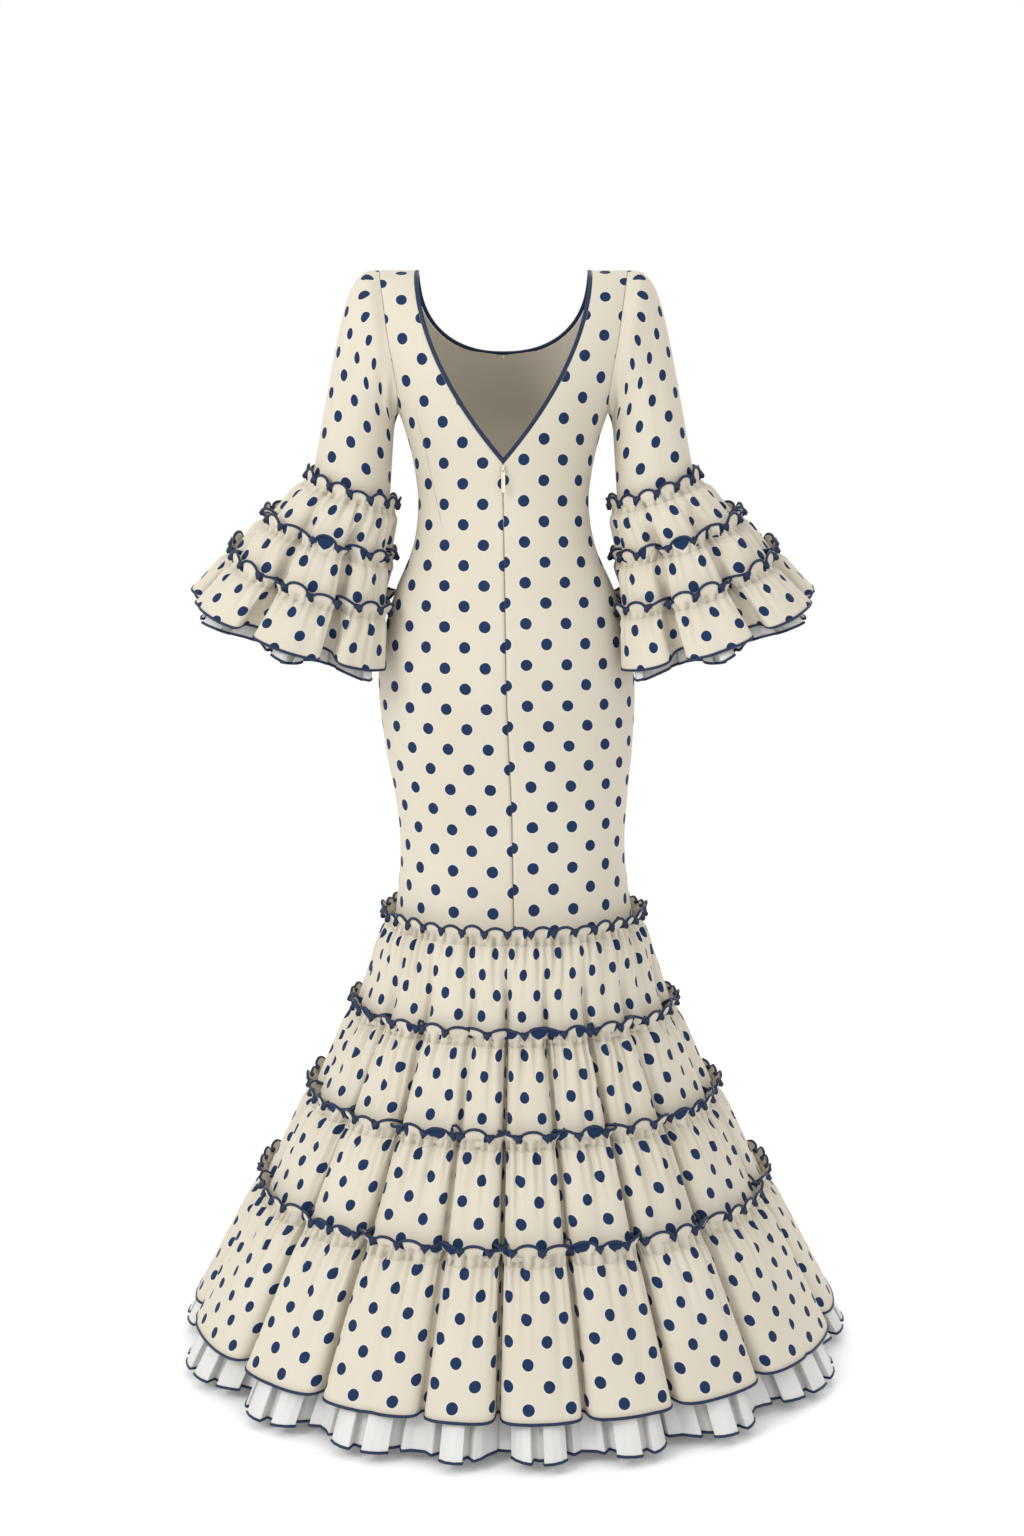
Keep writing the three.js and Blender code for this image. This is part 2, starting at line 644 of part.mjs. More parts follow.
// A flat drop with a ring at its top: wide shoulders, straight sides and a round tip.
function pullGeometry() {
  const { width, shoulderWidth, length, thickness, bar, hole, tipSteps } = PULL;
  const tipRadius = width / 2;
  const outline = new THREE.Shape();
  outline.moveTo(-shoulderWidth / 2, bar);
  for (let i = 0; i <= tipSteps; i += 1) {
    const angle = Math.PI + (Math.PI * i) / tipSteps;
    outline.lineTo(tipRadius * Math.cos(angle), tipRadius - length + tipRadius * Math.sin(angle));
  }
  outline.lineTo(shoulderWidth / 2, bar);
  const ring = new THREE.Path();
  ring.moveTo(-hole.halfWidth, -bar);
  ring.lineTo(hole.halfWidth, -bar);
  ring.lineTo(hole.halfWidth, -bar - hole.length);
  ring.lineTo(-hole.halfWidth, -bar - hole.length);
  outline.holes.push(ring);
  const plate = new THREE.ExtrudeGeometry(outline, { depth: thickness, bevelEnabled: false });
  plate.translate(0, 0, -thickness / 2);
  return plate.rotateX(Math.PI / 2);
}

// ---- the whole dress ----
const dress = new THREE.Group();

function add(name, geometry, material) {
  const mesh = new THREE.Mesh(geometry, material);
  mesh.name = name;
  dress.add(mesh);
  return mesh;
}

function addPair(name, geometry, material) {
  add(`${name}_left`, geometry, material());
  add(`${name}_right`, mirrored(geometry), material());
}

function addBody() {
  add('back_left', backPanel(1), clothMaterial());
  add('back_right', backPanel(-1), clothMaterial());
  add('front', frontPanel(), clothMaterial());
  add('neck_binding', neckBinding(), navyMaterial());
}

function addZip() {
  const seat = sliderSeat();
  const away = SLIDER.standOff + hingeHeight;
  const hinge = new THREE.Vector3(0, seat.y, SLIDER.z);
  hinge.add(new THREE.Vector3(0, Math.cos(seat.lean), -Math.sin(seat.lean)).multiplyScalar(away));
  add('zip_tape', zipTape(), clothMaterial());
  const slider = add('zip_slider', sliderGeometry(), enamelMaterial());
  slider.position.copy(hinge);
  slider.rotation.x = -seat.lean;
  const pull = add('zip_pull', pullGeometry(), enamelMaterial());
  pull.position.copy(hinge);
}

function addSleeves() {
  addPair('sleeve', clothTube(sleeveGrid(), CLOTH), clothMaterial);
  for (let number = 0; number < FLOUNCE_RINGS.length - 1; number += 1) {
    const rows = flounceRows(number);
    addPair(`flounce_${number + 1}`, clothTube(rows, CLOTH), clothMaterial);
    addPair(`flounce_${number + 1}_heading_edge`, edgeRing(rows, true, CLOTH), navyMaterial);
    const isLast = number === FLOUNCE_RINGS.length - 2;
    if (isLast) addPair('flounce_hem_edge', edgeRing(rows, false, CLOTH), navyMaterial);
  }
  const under = sleeveUnderRows();
  addPair('sleeve_under_ruffle', clothTube(under, THIN_CLOTH), organzaMaterial);
  addPair('sleeve_under_edge', edgeRing(under, false, THIN_CLOTH), navyMaterial);
}

function addSkirt() {
  for (let tier = 0; tier < SKIRT_LINES.length - 1; tier += 1) {
    const rows = tierRows(tier);
    add(`tier_${tier + 1}`, tierWall(rows), clothMaterial());
    add(`tier_${tier + 1}_heading_edge`, edgeRing(rows, true, CLOTH), navyMaterial());
    const isLast = tier === SKIRT_LINES.length - 2;
    if (isLast) add('tier_hem_edge', edgeRing(rows, false, CLOTH), navyMaterial());
  }
  const under = underRuffleRows();
  add('under_ruffle', clothTube(under, THIN_CLOTH), organzaMaterial());
  add('under_ruffle_edge', edgeRing(under, false, THIN_CLOTH), navyMaterial());
}

addBody();
addZip();
addSleeves();
addSkirt();

export default dress;
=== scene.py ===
import math
import random

import bmesh
import bpy
import numpy as np
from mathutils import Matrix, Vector


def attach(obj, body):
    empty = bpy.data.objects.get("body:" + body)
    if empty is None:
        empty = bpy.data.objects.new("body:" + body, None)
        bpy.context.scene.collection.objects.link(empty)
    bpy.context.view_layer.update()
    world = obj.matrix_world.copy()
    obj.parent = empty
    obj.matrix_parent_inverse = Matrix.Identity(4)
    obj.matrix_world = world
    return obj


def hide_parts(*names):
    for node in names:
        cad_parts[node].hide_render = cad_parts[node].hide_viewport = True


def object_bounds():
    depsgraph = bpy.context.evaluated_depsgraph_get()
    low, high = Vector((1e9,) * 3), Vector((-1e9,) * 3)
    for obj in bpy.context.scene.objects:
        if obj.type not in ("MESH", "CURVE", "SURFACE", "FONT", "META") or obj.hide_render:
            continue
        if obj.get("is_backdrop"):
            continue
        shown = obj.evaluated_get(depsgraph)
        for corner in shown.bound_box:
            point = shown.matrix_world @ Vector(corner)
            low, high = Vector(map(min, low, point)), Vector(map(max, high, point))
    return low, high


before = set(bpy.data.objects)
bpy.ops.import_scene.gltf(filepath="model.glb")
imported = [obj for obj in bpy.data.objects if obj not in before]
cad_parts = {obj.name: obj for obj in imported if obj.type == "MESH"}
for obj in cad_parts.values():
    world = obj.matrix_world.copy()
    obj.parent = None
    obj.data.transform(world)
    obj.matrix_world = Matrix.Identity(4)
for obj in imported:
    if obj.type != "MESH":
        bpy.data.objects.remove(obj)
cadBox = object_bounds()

print("frame loaded")

turn = 2 * math.pi


# Sums on arrays, one value for each point.
def between(start, end, share):
    return start + (end - start) * share


def ease(share):
    held = np.clip(share, 0, 1)
    return held * held * (3 - 2 * held)


def valueAt(rows, key, z):  # one column of a table at any height, on a smooth curve
    heights = np.array([row["z"] for row in rows])
    values = np.array([row[key] for row in rows])
    here = np.clip(np.searchsorted(-heights, -z, side="right") - 1, 0, len(rows) - 2)
    before, after = np.maximum(here - 1, 0), np.minimum(here + 2, len(rows) - 1)
    span = heights[here] - heights[here + 1]
    slopeIn = (values[here + 1] - values[before]) / (heights[before] - heights[here + 1]) * span
    slopeOut = (values[after] - values[here]) / (heights[here] - heights[after]) * span
    t = np.clip((heights[here] - z) / span, 0, 1)
    fromStart = (2 * t**3 - 3 * t**2 + 1) * values[here] + (t**3 - 2 * t**2 + t) * slopeIn
    return fromStart + (3 * t**2 - 2 * t**3) * values[here + 1] + (t**3 - t**2) * slopeOut


def unit(vectors):
    return vectors / np.maximum(np.linalg.norm(vectors, axis=1, keepdims=True), 1e-9)


def stacked(x, y, z):
    return np.stack(np.broadcast_arrays(x, y, z), axis=1).astype(float)


class Wire:  # a socket that takes part in sums
    def __init__(self, tree, socket):
        self.tree = tree
        self.socket = socket

    def sum(self, operation, *others, clamp=False):
        node = self.tree.nodes.new("ShaderNodeMath")
        node.operation = operation
        node.use_clamp = clamp
        for number, value in enumerate((self, *others)):
            plug(self.tree, node.inputs[number], value)
        return Wire(self.tree, node.outputs[0])

    def reflected(self, operation, other):
        node = self.tree.nodes.new("ShaderNodeMath")
        node.operation = operation
        plug(self.tree, node.inputs[0], other)
        plug(self.tree, node.inputs[1], self)
        return Wire(self.tree, node.outputs[0])

    def __add__(self, other):
        return self.sum("ADD", other)

    def __sub__(self, other):
        return self.sum("SUBTRACT", other)

    def __mul__(self, other):
        return self.sum("MULTIPLY", other)

    def __truediv__(self, other):
        return self.sum("DIVIDE", other)

    def __radd__(self, other):
        return self.reflected("ADD", other)

    def __rsub__(self, other):
        return self.reflected("SUBTRACT", other)

    def __rmul__(self, other):
        return self.reflected("MULTIPLY", other)

    def __rtruediv__(self, other):
        return self.reflected("DIVIDE", other)


def plug(tree, socket, value):
    if isinstance(value, Wire):
        tree.links.new(value.socket, socket)
    else:
        socket.default_value = value


class Finish:  # a material and its nodes
    def __init__(self, name, colour, roughness):
        self.material = bpy.data.materials.new(name)
        self.material.use_nodes = True
        self.tree = self.material.node_tree
        self.surface = self.tree.nodes["Principled BSDF"]
        self.surface.inputs["Base Color"].default_value = (*colour, 1)
        self.surface.inputs["Roughness"].default_value = roughness
        self.material.diffuse_color = (*colour, 1)

    def node(self, kind, settings=None, output=0, **values):
        node = self.tree.nodes.new(kind)
        for name, value in (settings or {}).items():
            setattr(node, name, value)
        for name, value in values.items():
            plug(self.tree, node.inputs[name.replace("_", " ")], value)
        return Wire(self.tree, node.outputs[output])

    def mixed(self, factor, first, second):
        node = self.tree.nodes.new("ShaderNodeMix")
        node.data_type = "RGBA"
        plug(self.tree, node.inputs["Factor"], factor)
        plug(self.tree, node.inputs["A"], first)
        plug(self.tree, node.inputs["B"], second)
        sockets = [socket for socket in node.outputs if socket.type == "RGBA"]
        return Wire(self.tree, sockets[0])

    def split(self, vector):
        node = self.tree.nodes.new("ShaderNodeSeparateXYZ")
        plug(self.tree, node.inputs[0], vector)
        return [Wire(self.tree, node.outputs[axis]) for axis in range(3)]

    def noise(self, vector, scale, detail=3.0, roughness=0.5):
        return self.node("ShaderNodeTexNoise", Vector=vector, Scale=scale, Detail=detail,
                         Roughness=roughness)

    def cut(self):  # the cloth's own flat coordinates, in metres
        return self.node("ShaderNodeUVMap", {"uv_map": "cut"})

    def scaled(self, vector, scale):
        return self.node("ShaderNodeMapping", Vector=vector, Scale=scale)

    def bump(self, height, distance, strength=1.0, under=None):
        values = {"Height": height, "Distance": distance, "Strength": strength}
        if under is not None:
            values["Normal"] = under
        return self.node("ShaderNodeBump", **values)

    def into(self, name, value):
        plug(self.tree, self.surface.inputs[name], value)


cream = (0.61, 0.568, 0.482, 1)
creamShade = (0.56, 0.512, 0.42, 1)
navy = (0.0085, 0.021, 0.062, 1)
navyLight = (0.014, 0.034, 0.092, 1)

clothLook = {
    "roughness": 0.78,
    "sheen": 0.03,
    "sheenRoughness": 0.4,
    "specular": 0.12,
    # the seam colour is painted shade: a warm brown laid along each stitched groove
    "seamShadeColour": (0.3, 0.25, 0.19, 1),
    "seamWidth": 0.0009,
    "seamDepth": 0.0006,
}
dots = {
    "columnPitch": 0.054,
    "rowPitch": 0.027,
    "radius": 0.0077,
    "softness": 0.0005,
    "wobble": 0.0012,
    "halo": 0.0013,
    "haloStrength": 0.55,
    "haloColour": (0.655, 0.62, 0.545, 1),
}


def weaveBump(finish, cut):
    fine = finish.noise(finish.scaled(cut, (1500, 1500, 1500)), 1.0, 2.0)
    crepe = finish.bump(fine, 0.00012, 0.5)
    crush = finish.noise(finish.scaled(cut, (46, 17, 1)), 1.0, 4.0, 0.55)
    return finish.bump(crush, 0.0011, 0.55, crepe)


def dotMask(finish, cut, grow=0.0):  # 1 inside a dot
    across, down, _ = finish.split(cut)
    row = (down / dots["rowPitch"]).sum("FLOOR")
    offset = (row * 0.5).sum("FRACT") * dots["columnPitch"]
    alongCell = ((across + offset) / dots["columnPitch"]).sum("FRACT") - 0.5
    downCell = (down / dots["rowPitch"]).sum("FRACT") - 0.5
    x = alongCell * dots["columnPitch"]
    y = downCell * dots["rowPitch"]
    away = (x * x + y * y).sum("SQRT")
    wobble = (finish.noise(cut, 90.0, 0.0) - 0.5) * dots["wobble"]
    edge = dots["radius"] + grow - away + wobble
    return (edge / dots["softness"]).sum("ADD", 0.5, clamp=True)


def clothFinish(name, dotted, seams=()):
    finish = Finish(name, cream[:3], clothLook["roughness"])
    cut = finish.cut()
    mottle = finish.noise(finish.scaled(cut, (9, 5, 1)), 1.0, 3.0)
    colour = finish.mixed((mottle - 0.35) * 1.6, creamShade, cream)
    surface = weaveBump(finish, cut)
    if dotted:
        halo = dotMask(finish, cut, dots["halo"])
        dot = dotMask(finish, cut)
        ink = finish.mixed(finish.noise(cut, 95.0, 2.0), navy, navyLight)
        colour = finish.mixed(halo * dots["haloStrength"], colour, dots["haloColour"])
        colour = finish.mixed(dot, colour, ink)
    # each stitched line gets a bump and painted shade, a darker brown along its groove
    for seam in seams:
        groove = seamMask(finish, cut, seam)
        colour = finish.mixed(groove * seam["paintedShade"], colour, clothLook["seamShadeColour"])
        surface = finish.bump(1 - groove, clothLook["seamDepth"], 1.0, surface)
    finish.into("Base Color", colour)
    finish.into("Normal", surface)
    finish.surface.inputs["Sheen Weight"].default_value = clothLook["sheen"]
    finish.surface.inputs["Sheen Roughness"].default_value = clothLook["sheenRoughness"]
    finish.surface.inputs["Specular IOR Level"].default_value = clothLook["specular"]
    return finish.material


def seamMask(finish, cut, seam):  # 1 on a stitched line between two points of the flat cut
    across, down, _ = finish.split(cut)
    (x0, y0), (x1, y1) = seam["start"], seam["end"]
    length = math.hypot(x1 - x0, y1 - y0)
    along = (across - x0) * ((x1 - x0) / length) + (down - y0) * ((y1 - y0) / length)
    aside = ((across - x0) * ((y1 - y0) / length) - (down - y0) * ((x1 - x0) / length)).sum("ABSOLUTE")
    line = (1 - aside / clothLook["seamWidth"]).sum("MAXIMUM", 0.0)
    ends = (along / seam["fade"]).sum("ADD", 0.0, clamp=True)
    finishes = ((length - along) / seam["fade"]).sum("ADD", 0.0, clamp=True)
    return line * ends * finishes


def edgingFinish():
    finish = Finish("navySatinBinding", navy[:3], 0.5)
    cut = finish.cut()
    thread = finish.noise(finish.scaled(cut, (900, 260, 1)), 1.0, 2.0)
    patches = finish.noise(finish.scaled(cut, (60, 60, 1)), 1.0, 2.0)
    colour = finish.mixed(patches, (0.005, 0.013, 0.04, 1), (0.012, 0.028, 0.075, 1))
    finish.into("Base Color", colour)
    finish.into("Normal", finish.bump(thread, 0.0003, 0.6))
    finish.into("Roughness", 0.42 + thread * 0.25)
    finish.surface.inputs["Specular IOR Level"].default_value = 0.3
    return finish.material


def organzaFinish():
    finish = Finish("whiteOrganza", (0.66, 0.655, 0.635), 0.55)
    cut = finish.cut()
    mesh = finish.noise(finish.scaled(cut, (1300, 1300, 1)), 1.0, 1.0)
    cloud = finish.noise(finish.scaled(cut, (22, 9, 1)), 1.0, 3.0)
    finish.into("Base Color", finish.mixed(cloud, (0.61, 0.605, 0.585, 1), (0.7, 0.695, 0.68, 1)))
    crush = finish.bump(cloud, 0.0012, 0.4, finish.bump(mesh, 0.0001, 0.4))
    finish.into("Normal", crush)
    finish.surface.inputs["Alpha"].default_value = 0.9
    return finish.material


def enamelFinish():
    finish = Finish("creamEnamel", (0.78, 0.7, 0.58), 0.32)
    place = finish.node("ShaderNodeTexCoord", output=3)
    worn = finish.noise(place, 220.0, 3.0)
    finish.into("Base Color", finish.mixed(worn, (0.6, 0.53, 0.42, 1), (0.7, 0.64, 0.54, 1)))
    finish.into("Roughness", 0.26 + worn * 0.2)
    finish.surface.inputs["Coat Weight"].default_value = 0.35
    return finish.material


def tapeFinish():
    finish = Finish("zipTape", (0.74, 0.67, 0.57), 0.85)
    place = finish.node("ShaderNodeTexCoord", output=3)
    ribs = finish.noise(finish.scaled(place, (300, 300, 1600)), 1.0, 1.0)
    finish.into("Base Color", finish.mixed(ribs, (0.56, 0.49, 0.4, 1), (0.66, 0.6, 0.5, 1)))
    finish.into("Normal", finish.bump(ribs, 0.0002, 0.6))
    return finish.material


# Stitched lines of the back halves, in the flat cut, each with the strength of the painted shade along its
# groove.
backSeams = [
    {"start": (0.0, 0.0), "end": (0.0, 0.95), "paintedShade": 0.32, "fade": 0.01},  # centre back
    {"start": (0.128, 0.2), "end": (0.078, 0.39), "paintedShade": 0.25, "fade": 0.04},  # underarm to waist
]
dottedCloth = clothFinish("dottedCrepe", True)
backCloth = clothFinish("dottedCrepeBack", True, backSeams)
plainCloth = clothFinish("crepeInside", False)
navyBinding = edgingFinish()
organza = organzaFinish()
enamel = enamelFinish()
tape = tapeFinish()
print("finishes made")


# Every cloth and cord starts as a flat grid and keeps that grid as its cut.
def newMesh():
    bm = bmesh.new()
    bm.loops.layers.uv.new("cut")
    return bm


def addGrid(bm, columns, rows, shape, closed=False, smooth=True):
    layer = bm.loops.layers.uv.active
    before = len(bm.faces)
    verts = bmesh.ops.create_grid(bm, x_segments=columns, y_segments=rows, size=0.5)["verts"]
    flat = np.array([vert.co for vert in verts])
    points, cut = shape(flat[:, 0] + 0.5, 0.5 - flat[:, 1])
    order = {vert: number for number, vert in enumerate(verts)}
    bm.faces.ensure_lookup_table()
    for face in bm.faces[before:]:
        face.smooth = smooth
        for loop in face.loops:
            loop[layer].uv = cut[order[loop.vert]]
    for vert, point in zip(verts, points):
        vert.co = point
    if closed:
        bmesh.ops.remove_doubles(bm, verts=verts, dist=1e-5)


def madePiece(bm, name, finishes, thickness=0.0, replaces=()):
    mesh = bpy.data.meshes.new(name)
    bm.to_mesh(mesh)
    bm.free()
    piece = bpy.data.objects.new(name, mesh)
    bpy.context.scene.collection.objects.link(piece)
    for finish in finishes:
        mesh.materials.append(finish)
    if thickness:
        wall = piece.modifiers.new("clothWall", "SOLIDIFY")
        wall.thickness = thickness
        wall.offset = -1
        wall.material_offset = len(finishes) - 1
        wall.material_offset_rim = len(finishes) - 1
    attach(piece, "dress")
    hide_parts(*replaces)
    return piece


def cordLike(name, path, sideways, outwards, halfWidth, halfDepth, sides, replaces):
    # path, sideways and outwards: one row for each step along a closed run
    count = len(path)
    width, depth = np.broadcast_to(halfWidth, count), np.broadcast_to(halfDepth, count)
    lengths = np.linalg.norm(np.roll(path, -1, axis=0) - path, axis=1)
    along = np.concatenate([[0], np.cumsum(lengths)])

    def shape(u, v):
        step = np.rint(u * count).astype(int)
        here = step % count
        angle = v * turn
        swell = (width[here] * np.cos(angle))[:, None] * sideways[here]
        lift = (depth[here] * np.sin(angle))[:, None] * outwards[here]
        return path[here] + swell + lift, np.stack([along[step], v * turn * width[0]], axis=1)

    bm = newMesh()
    addGrid(bm, count, sides, shape, closed=True)
    bmesh.ops.recalc_face_normals(bm, faces=bm.faces)
    return madePiece(bm, name, [navyBinding], replaces=replaces)


body = {
    "sectionPower": 2.2,
    "underarm": -0.188,
    "hem": -0.876,
    "neckHalfWidth": 0.118,
    "backNeck": {"drop": 0.258, "power": 1.91, "round": 1.0},
    "frontNeck": {"drop": 0.104, "power": 2.3, "round": 2.3},
    "seamGap": 0.0003,
    "wall": 0.0014,
    "backColumns": 44,
    "backRows": 150,
    "frontColumns": 84,
    "frontRows": 120,
    "rowCrowding": 1.25,
    "rightSlip": 0.0045,
    "measureSteps": 24,
    "slopeShare": 0.7,
    "foldFade": 0.02,
}
bodyColumns = ("z", "halfWidth", "back", "front", "sway")
bodyRows = [
    (0, 205, 0, 0, 0), (-12, 201, 36, 33, 0), (-32, 197, 60, 54, 0), (-62, 192, 80, 74, 0),
    (-98, 183, 93, 94, 0), (-140, 162, 98, 115, 0), (-188, 140, 96, 128, 0), (-224, 128, 89, 122, 0),
    (-265, 119, 79, 106, 0), (-310, 115, 74, 96, 0), (-365, 123, 84, 98, -1), (-425, 148, 102, 104, -2),
    (-485, 166, 115, 109, -3), (-547, 174, 119, 112, -4), (-630, 169, 111, 115, -7),
    (-712, 158, 108, 118, -11), (-765, 154, 114, 121, -12), (-820, 157, 131, 134, -13),
    (-876, 164, 159, 159, -14),
]
bodySections = [dict(zip(bodyColumns, (value / 1000 for value in row))) for row in bodyRows]
armholeRows = [
    (0, 165, 165), (-45, 158, 155), (-95, 151, 145), (-140, 143, 137), (-165, 140, 136), (-188, 140, 140),
]
armholeSeam = [dict(zip(("z", "back", "front"), (value / 1000 for value in row))) for row in armholeRows]
sideSign = {"back": 1, "front": -1}


def bodyDepth(z, x, side):
    share = np.clip(np.abs(x) / valueAt(bodySections, "halfWidth", z), 0, 1)
    power = body["sectionPower"]
    return sideSign[side] * valueAt(bodySections, side, z) * (1 - share**power) ** (1 / power)


def bodyReach(z, y, room):
    depth = np.where(y > 0, valueAt(bodySections, "back", z), valueAt(bodySections, "front", z)) + room
    share = np.clip(np.abs(y) / depth, 0, 1)
    power = body["sectionPower"]
    halfWidth = valueAt(bodySections, "halfWidth", z) + room
    return np.abs(valueAt(bodySections, "sway", z)) + halfWidth * (1 - share**power) ** (1 / power)


def neckHalfWidth(z, side):
    cut = body[side + "Neck"]
    share = np.clip(-z / cut["drop"], 0, 1)
    return body["neckHalfWidth"] * (1 - share ** cut["power"]) ** (1 / cut["round"])


def panelHalfWidth(z, side):
    armhole = valueAt(armholeSeam, side, np.maximum(z, body["underarm"]))
    return np.where(z > body["underarm"], armhole, valueAt(bodySections, "halfWidth", z))


def panelPoint(z, x, side):
    y = bodyDepth(z, x, side) + sideSign[side] * body["seamGap"] / 2
    return stacked(valueAt(bodySections, "sway", z) + x, y, z)


def acrossPanel(z, x, side):  # how far x lies from the middle, measured along the cloth
    steps = body["measureSteps"]
    total = np.zeros_like(x)
    before = panelPoint(z, x * 0, side)
    for step in range(1, steps + 1):
        after = panelPoint(z, x * step / steps, side)
        total += np.linalg.norm(after - before, axis=1)
        before = after
    return total * np.sign(x)


def downPanel(z, side):  # from the shoulder, measured down the cloth
    heights = np.linspace(0, body["hem"], 400)
    depths = valueAt(bodySections, side, heights)
    steps = np.hypot(np.diff(heights), np.diff(depths) * body["slopeShare"])
    return np.interp(-z, -heights, np.concatenate([[0], np.cumsum(steps)]))


# Soft troughs of the worn body: where, how long, how wide, how deep, and how they tilt.
foldColumns = ("x", "z", "long", "wide", "deep", "tilt")
backFolds = [
    (0.07, -0.325, 0.05, 0.0075, 0.0016, 12), (-0.06, -0.318, 0.055, 0.008, 0.0018, -9),
    (-0.075, -0.35, 0.042, 0.007, 0.0013, -16), (0.052, -0.352, 0.045, 0.0085, 0.0011, 7),
    (0.11, -0.655, 0.05, 0.011, 0.0016, -24), (-0.1, -0.672, 0.058, 0.012, 0.0019, 21),
    (0.05, -0.735, 0.06, 0.014, 0.0014, -13), (-0.062, -0.76, 0.052, 0.013, 0.0013, 17),
    (0.12, -0.235, 0.04, 0.008, 0.0013, -38), (-0.118, -0.228, 0.036, 0.008, 0.0015, 34),
]
frontFolds = [
    (0.066, -0.322, 0.05, 0.008, 0.0017, 10), (-0.058, -0.33, 0.048, 0.0085, 0.0014, -12),
    (0.012, -0.352, 0.06, 0.01, 0.0012, 4), (0.092, -0.47, 0.055, 0.012, 0.0015, -26),
    (-0.1, -0.462, 0.06, 0.012, 0.0018, 23), (-0.05, -0.7, 0.06, 0.015, 0.0016, 15),
    (0.07, -0.725, 0.055, 0.013, 0.0018, -18), (0.115, -0.215, 0.04, 0.008, 0.0014, -36),
    (-0.112, -0.222, 0.042, 0.009, 0.0013, 38),
]


def foldDepth(folds, x, z):
    depth = np.zeros_like(x)
    for row in folds:
        fold = dict(zip(foldColumns, row))
        tilt = math.radians(fold["tilt"])
        along = (x - fold["x"]) * math.cos(tilt) + (z - fold["z"]) * math.sin(tilt)
        aside = (z - fold["z"]) * math.cos(tilt) - (x - fold["x"]) * math.sin(tilt)
        depth += fold["deep"] * np.exp(-((along / fold["long"]) ** 2) - (aside / fold["wide"]) ** 2)
    return depth


def rowPower(side):  # spaces the rows so that one of them meets the lowest point of the neck
    share = body[side + "Neck"]["drop"] / -body["hem"]
    rows = body[side + "Rows"]
    return math.log(share) / math.log(round(rows * share ** (1 / body["rowCrowding"])) / rows)


def panelShape(side, fromX, toX, folds, slip):  # slip moves the dots down the cloth
    power = rowPower(side)

    def shape(u, v):
        z = body["hem"] * v**power
        halfWidth = valueAt(bodySections, "halfWidth", z)
        start = np.arcsin(np.clip(fromX(z) / halfWidth, -1, 1))
        end = np.arcsin(np.clip(toX(z) / halfWidth, -1, 1))
        x = halfWidth * np.sin(between(start, end, u))
        cut = np.stack([acrossPanel(z, x, side), downPanel(z, side) + slip], axis=1)
        points = panelPoint(z, x, side)
        inner = ease((halfWidth - np.abs(x)) / body["foldFade"])
        points[:, 1] -= sideSign[side] * foldDepth(folds, x, z) * inner
        return points, cut

    return shape


def mirrored(edge):
    def other(z):
        return -edge(z)

    return other


def backInner(z):  # the V's edge, then the centre seam
    return np.maximum(neckHalfWidth(z, "back"), body["seamGap"] / 2)


def backOuter(z):
    return panelHalfWidth(z, "back")


def frontInner(z):
    return neckHalfWidth(z, "front")


def frontOuter(z):
    return panelHalfWidth(z, "front")


def addPanels():
    columns, rows = body["backColumns"], body["backRows"]
    left = newMesh()
    addGrid(left, columns, rows, panelShape("back", backOuter, backInner, backFolds, 0.0))
    right = newMesh()
    rightEdges = (mirrored(backInner), mirrored(backOuter))
    addGrid(right, columns, rows, panelShape("back", *rightEdges, backFolds, body["rightSlip"]))
    front = newMesh()
    for edges in ((frontInner, frontOuter), (mirrored(frontOuter), mirrored(frontInner))):
        shape = panelShape("front", *edges, frontFolds, 0.0)
        addGrid(front, body["frontColumns"] // 2, body["frontRows"], shape)
    bmesh.ops.remove_doubles(front, verts=front.verts, dist=1e-5)
    cloths = [backCloth, plainCloth]
    leftPiece = madePiece(left, "backLeftPanel", cloths, body["wall"], replaces=["back_left"])
    rightPiece = madePiece(right, "backRightPanel", cloths, body["wall"], replaces=["back_right"])
    frontCloths = [dottedCloth, plainCloth]
    frontPiece = madePiece(front, "frontPanel", frontCloths, body["wall"], replaces=["front"])
    return leftPiece, rightPiece, frontPiece


binding = {"halfWidth": 0.00275, "halfDepth": 0.0013, "steps": 90, "sides": 10, "vCrowding": 1.15}


def addNeckBinding():
    def edgeRun(side):
        drop = body[side + "Neck"]["drop"]
        share = np.linspace(0, 1, binding["steps"])
        down = share ** binding["vCrowding"] if side == "back" else np.sin(share * math.pi / 2)
        z = -drop * down
        x = neckHalfWidth(z, side)
        here = panelPoint(z, x, side)
        step = 1e-4
        sideways = panelPoint(z, x + step, side) - here
        downwards = panelPoint(z - step, x, side) - here
        return here, unit(np.cross(downwards, sideways) * sideSign[side] * -1)

    back, backNormal = edgeRun("back")
    front, frontNormal = edgeRun("front")
    path = np.concatenate([back[::-1], front[1:]])
    normal = np.concatenate([backNormal[::-1], frontNormal[1:]])
    flip = np.array([-1, 1, 1])
    path = np.concatenate([path, path[1:-1][::-1] * flip])
    normal = np.concatenate([normal, normal[1:-1][::-1] * flip])
    ahead = unit(np.roll(path, -1, axis=0) - path)
    behind = unit(path - np.roll(path, 1, axis=0))
    along = unit(ahead + behind)
    mitre = np.minimum(1 / np.maximum((along * ahead).sum(1), 0.5), 2)
    inwards = unit(np.cross(along, normal)) * mitre[:, None]
    centre = path + inwards * (binding["halfWidth"] + body["seamGap"]) - normal * body["wall"] / 2
    return cordLike("neckBinding", centre, inwards, normal, binding["halfWidth"],
                    binding["halfDepth"], binding["sides"], ["neck_binding"])


leftBack, rightBack, frontCloth = addPanels()
neckPiece = addNeckBinding()
print("body panels made")


def measuredCut(points, columns, rows):  # up from the lower edge, and round from the middle column
    grid = points.reshape(rows + 1, columns + 1, 3)
    up = np.cumsum(np.linalg.norm(np.diff(grid, axis=0, prepend=grid[:1]), axis=2), axis=0)
    around = np.cumsum(np.linalg.norm(np.diff(grid, axis=1, prepend=grid[:, :1]), axis=2), axis=1)
    around -= around[:, columns // 2, None]
    return np.stack([around.ravel(), up.ravel()], axis=1)


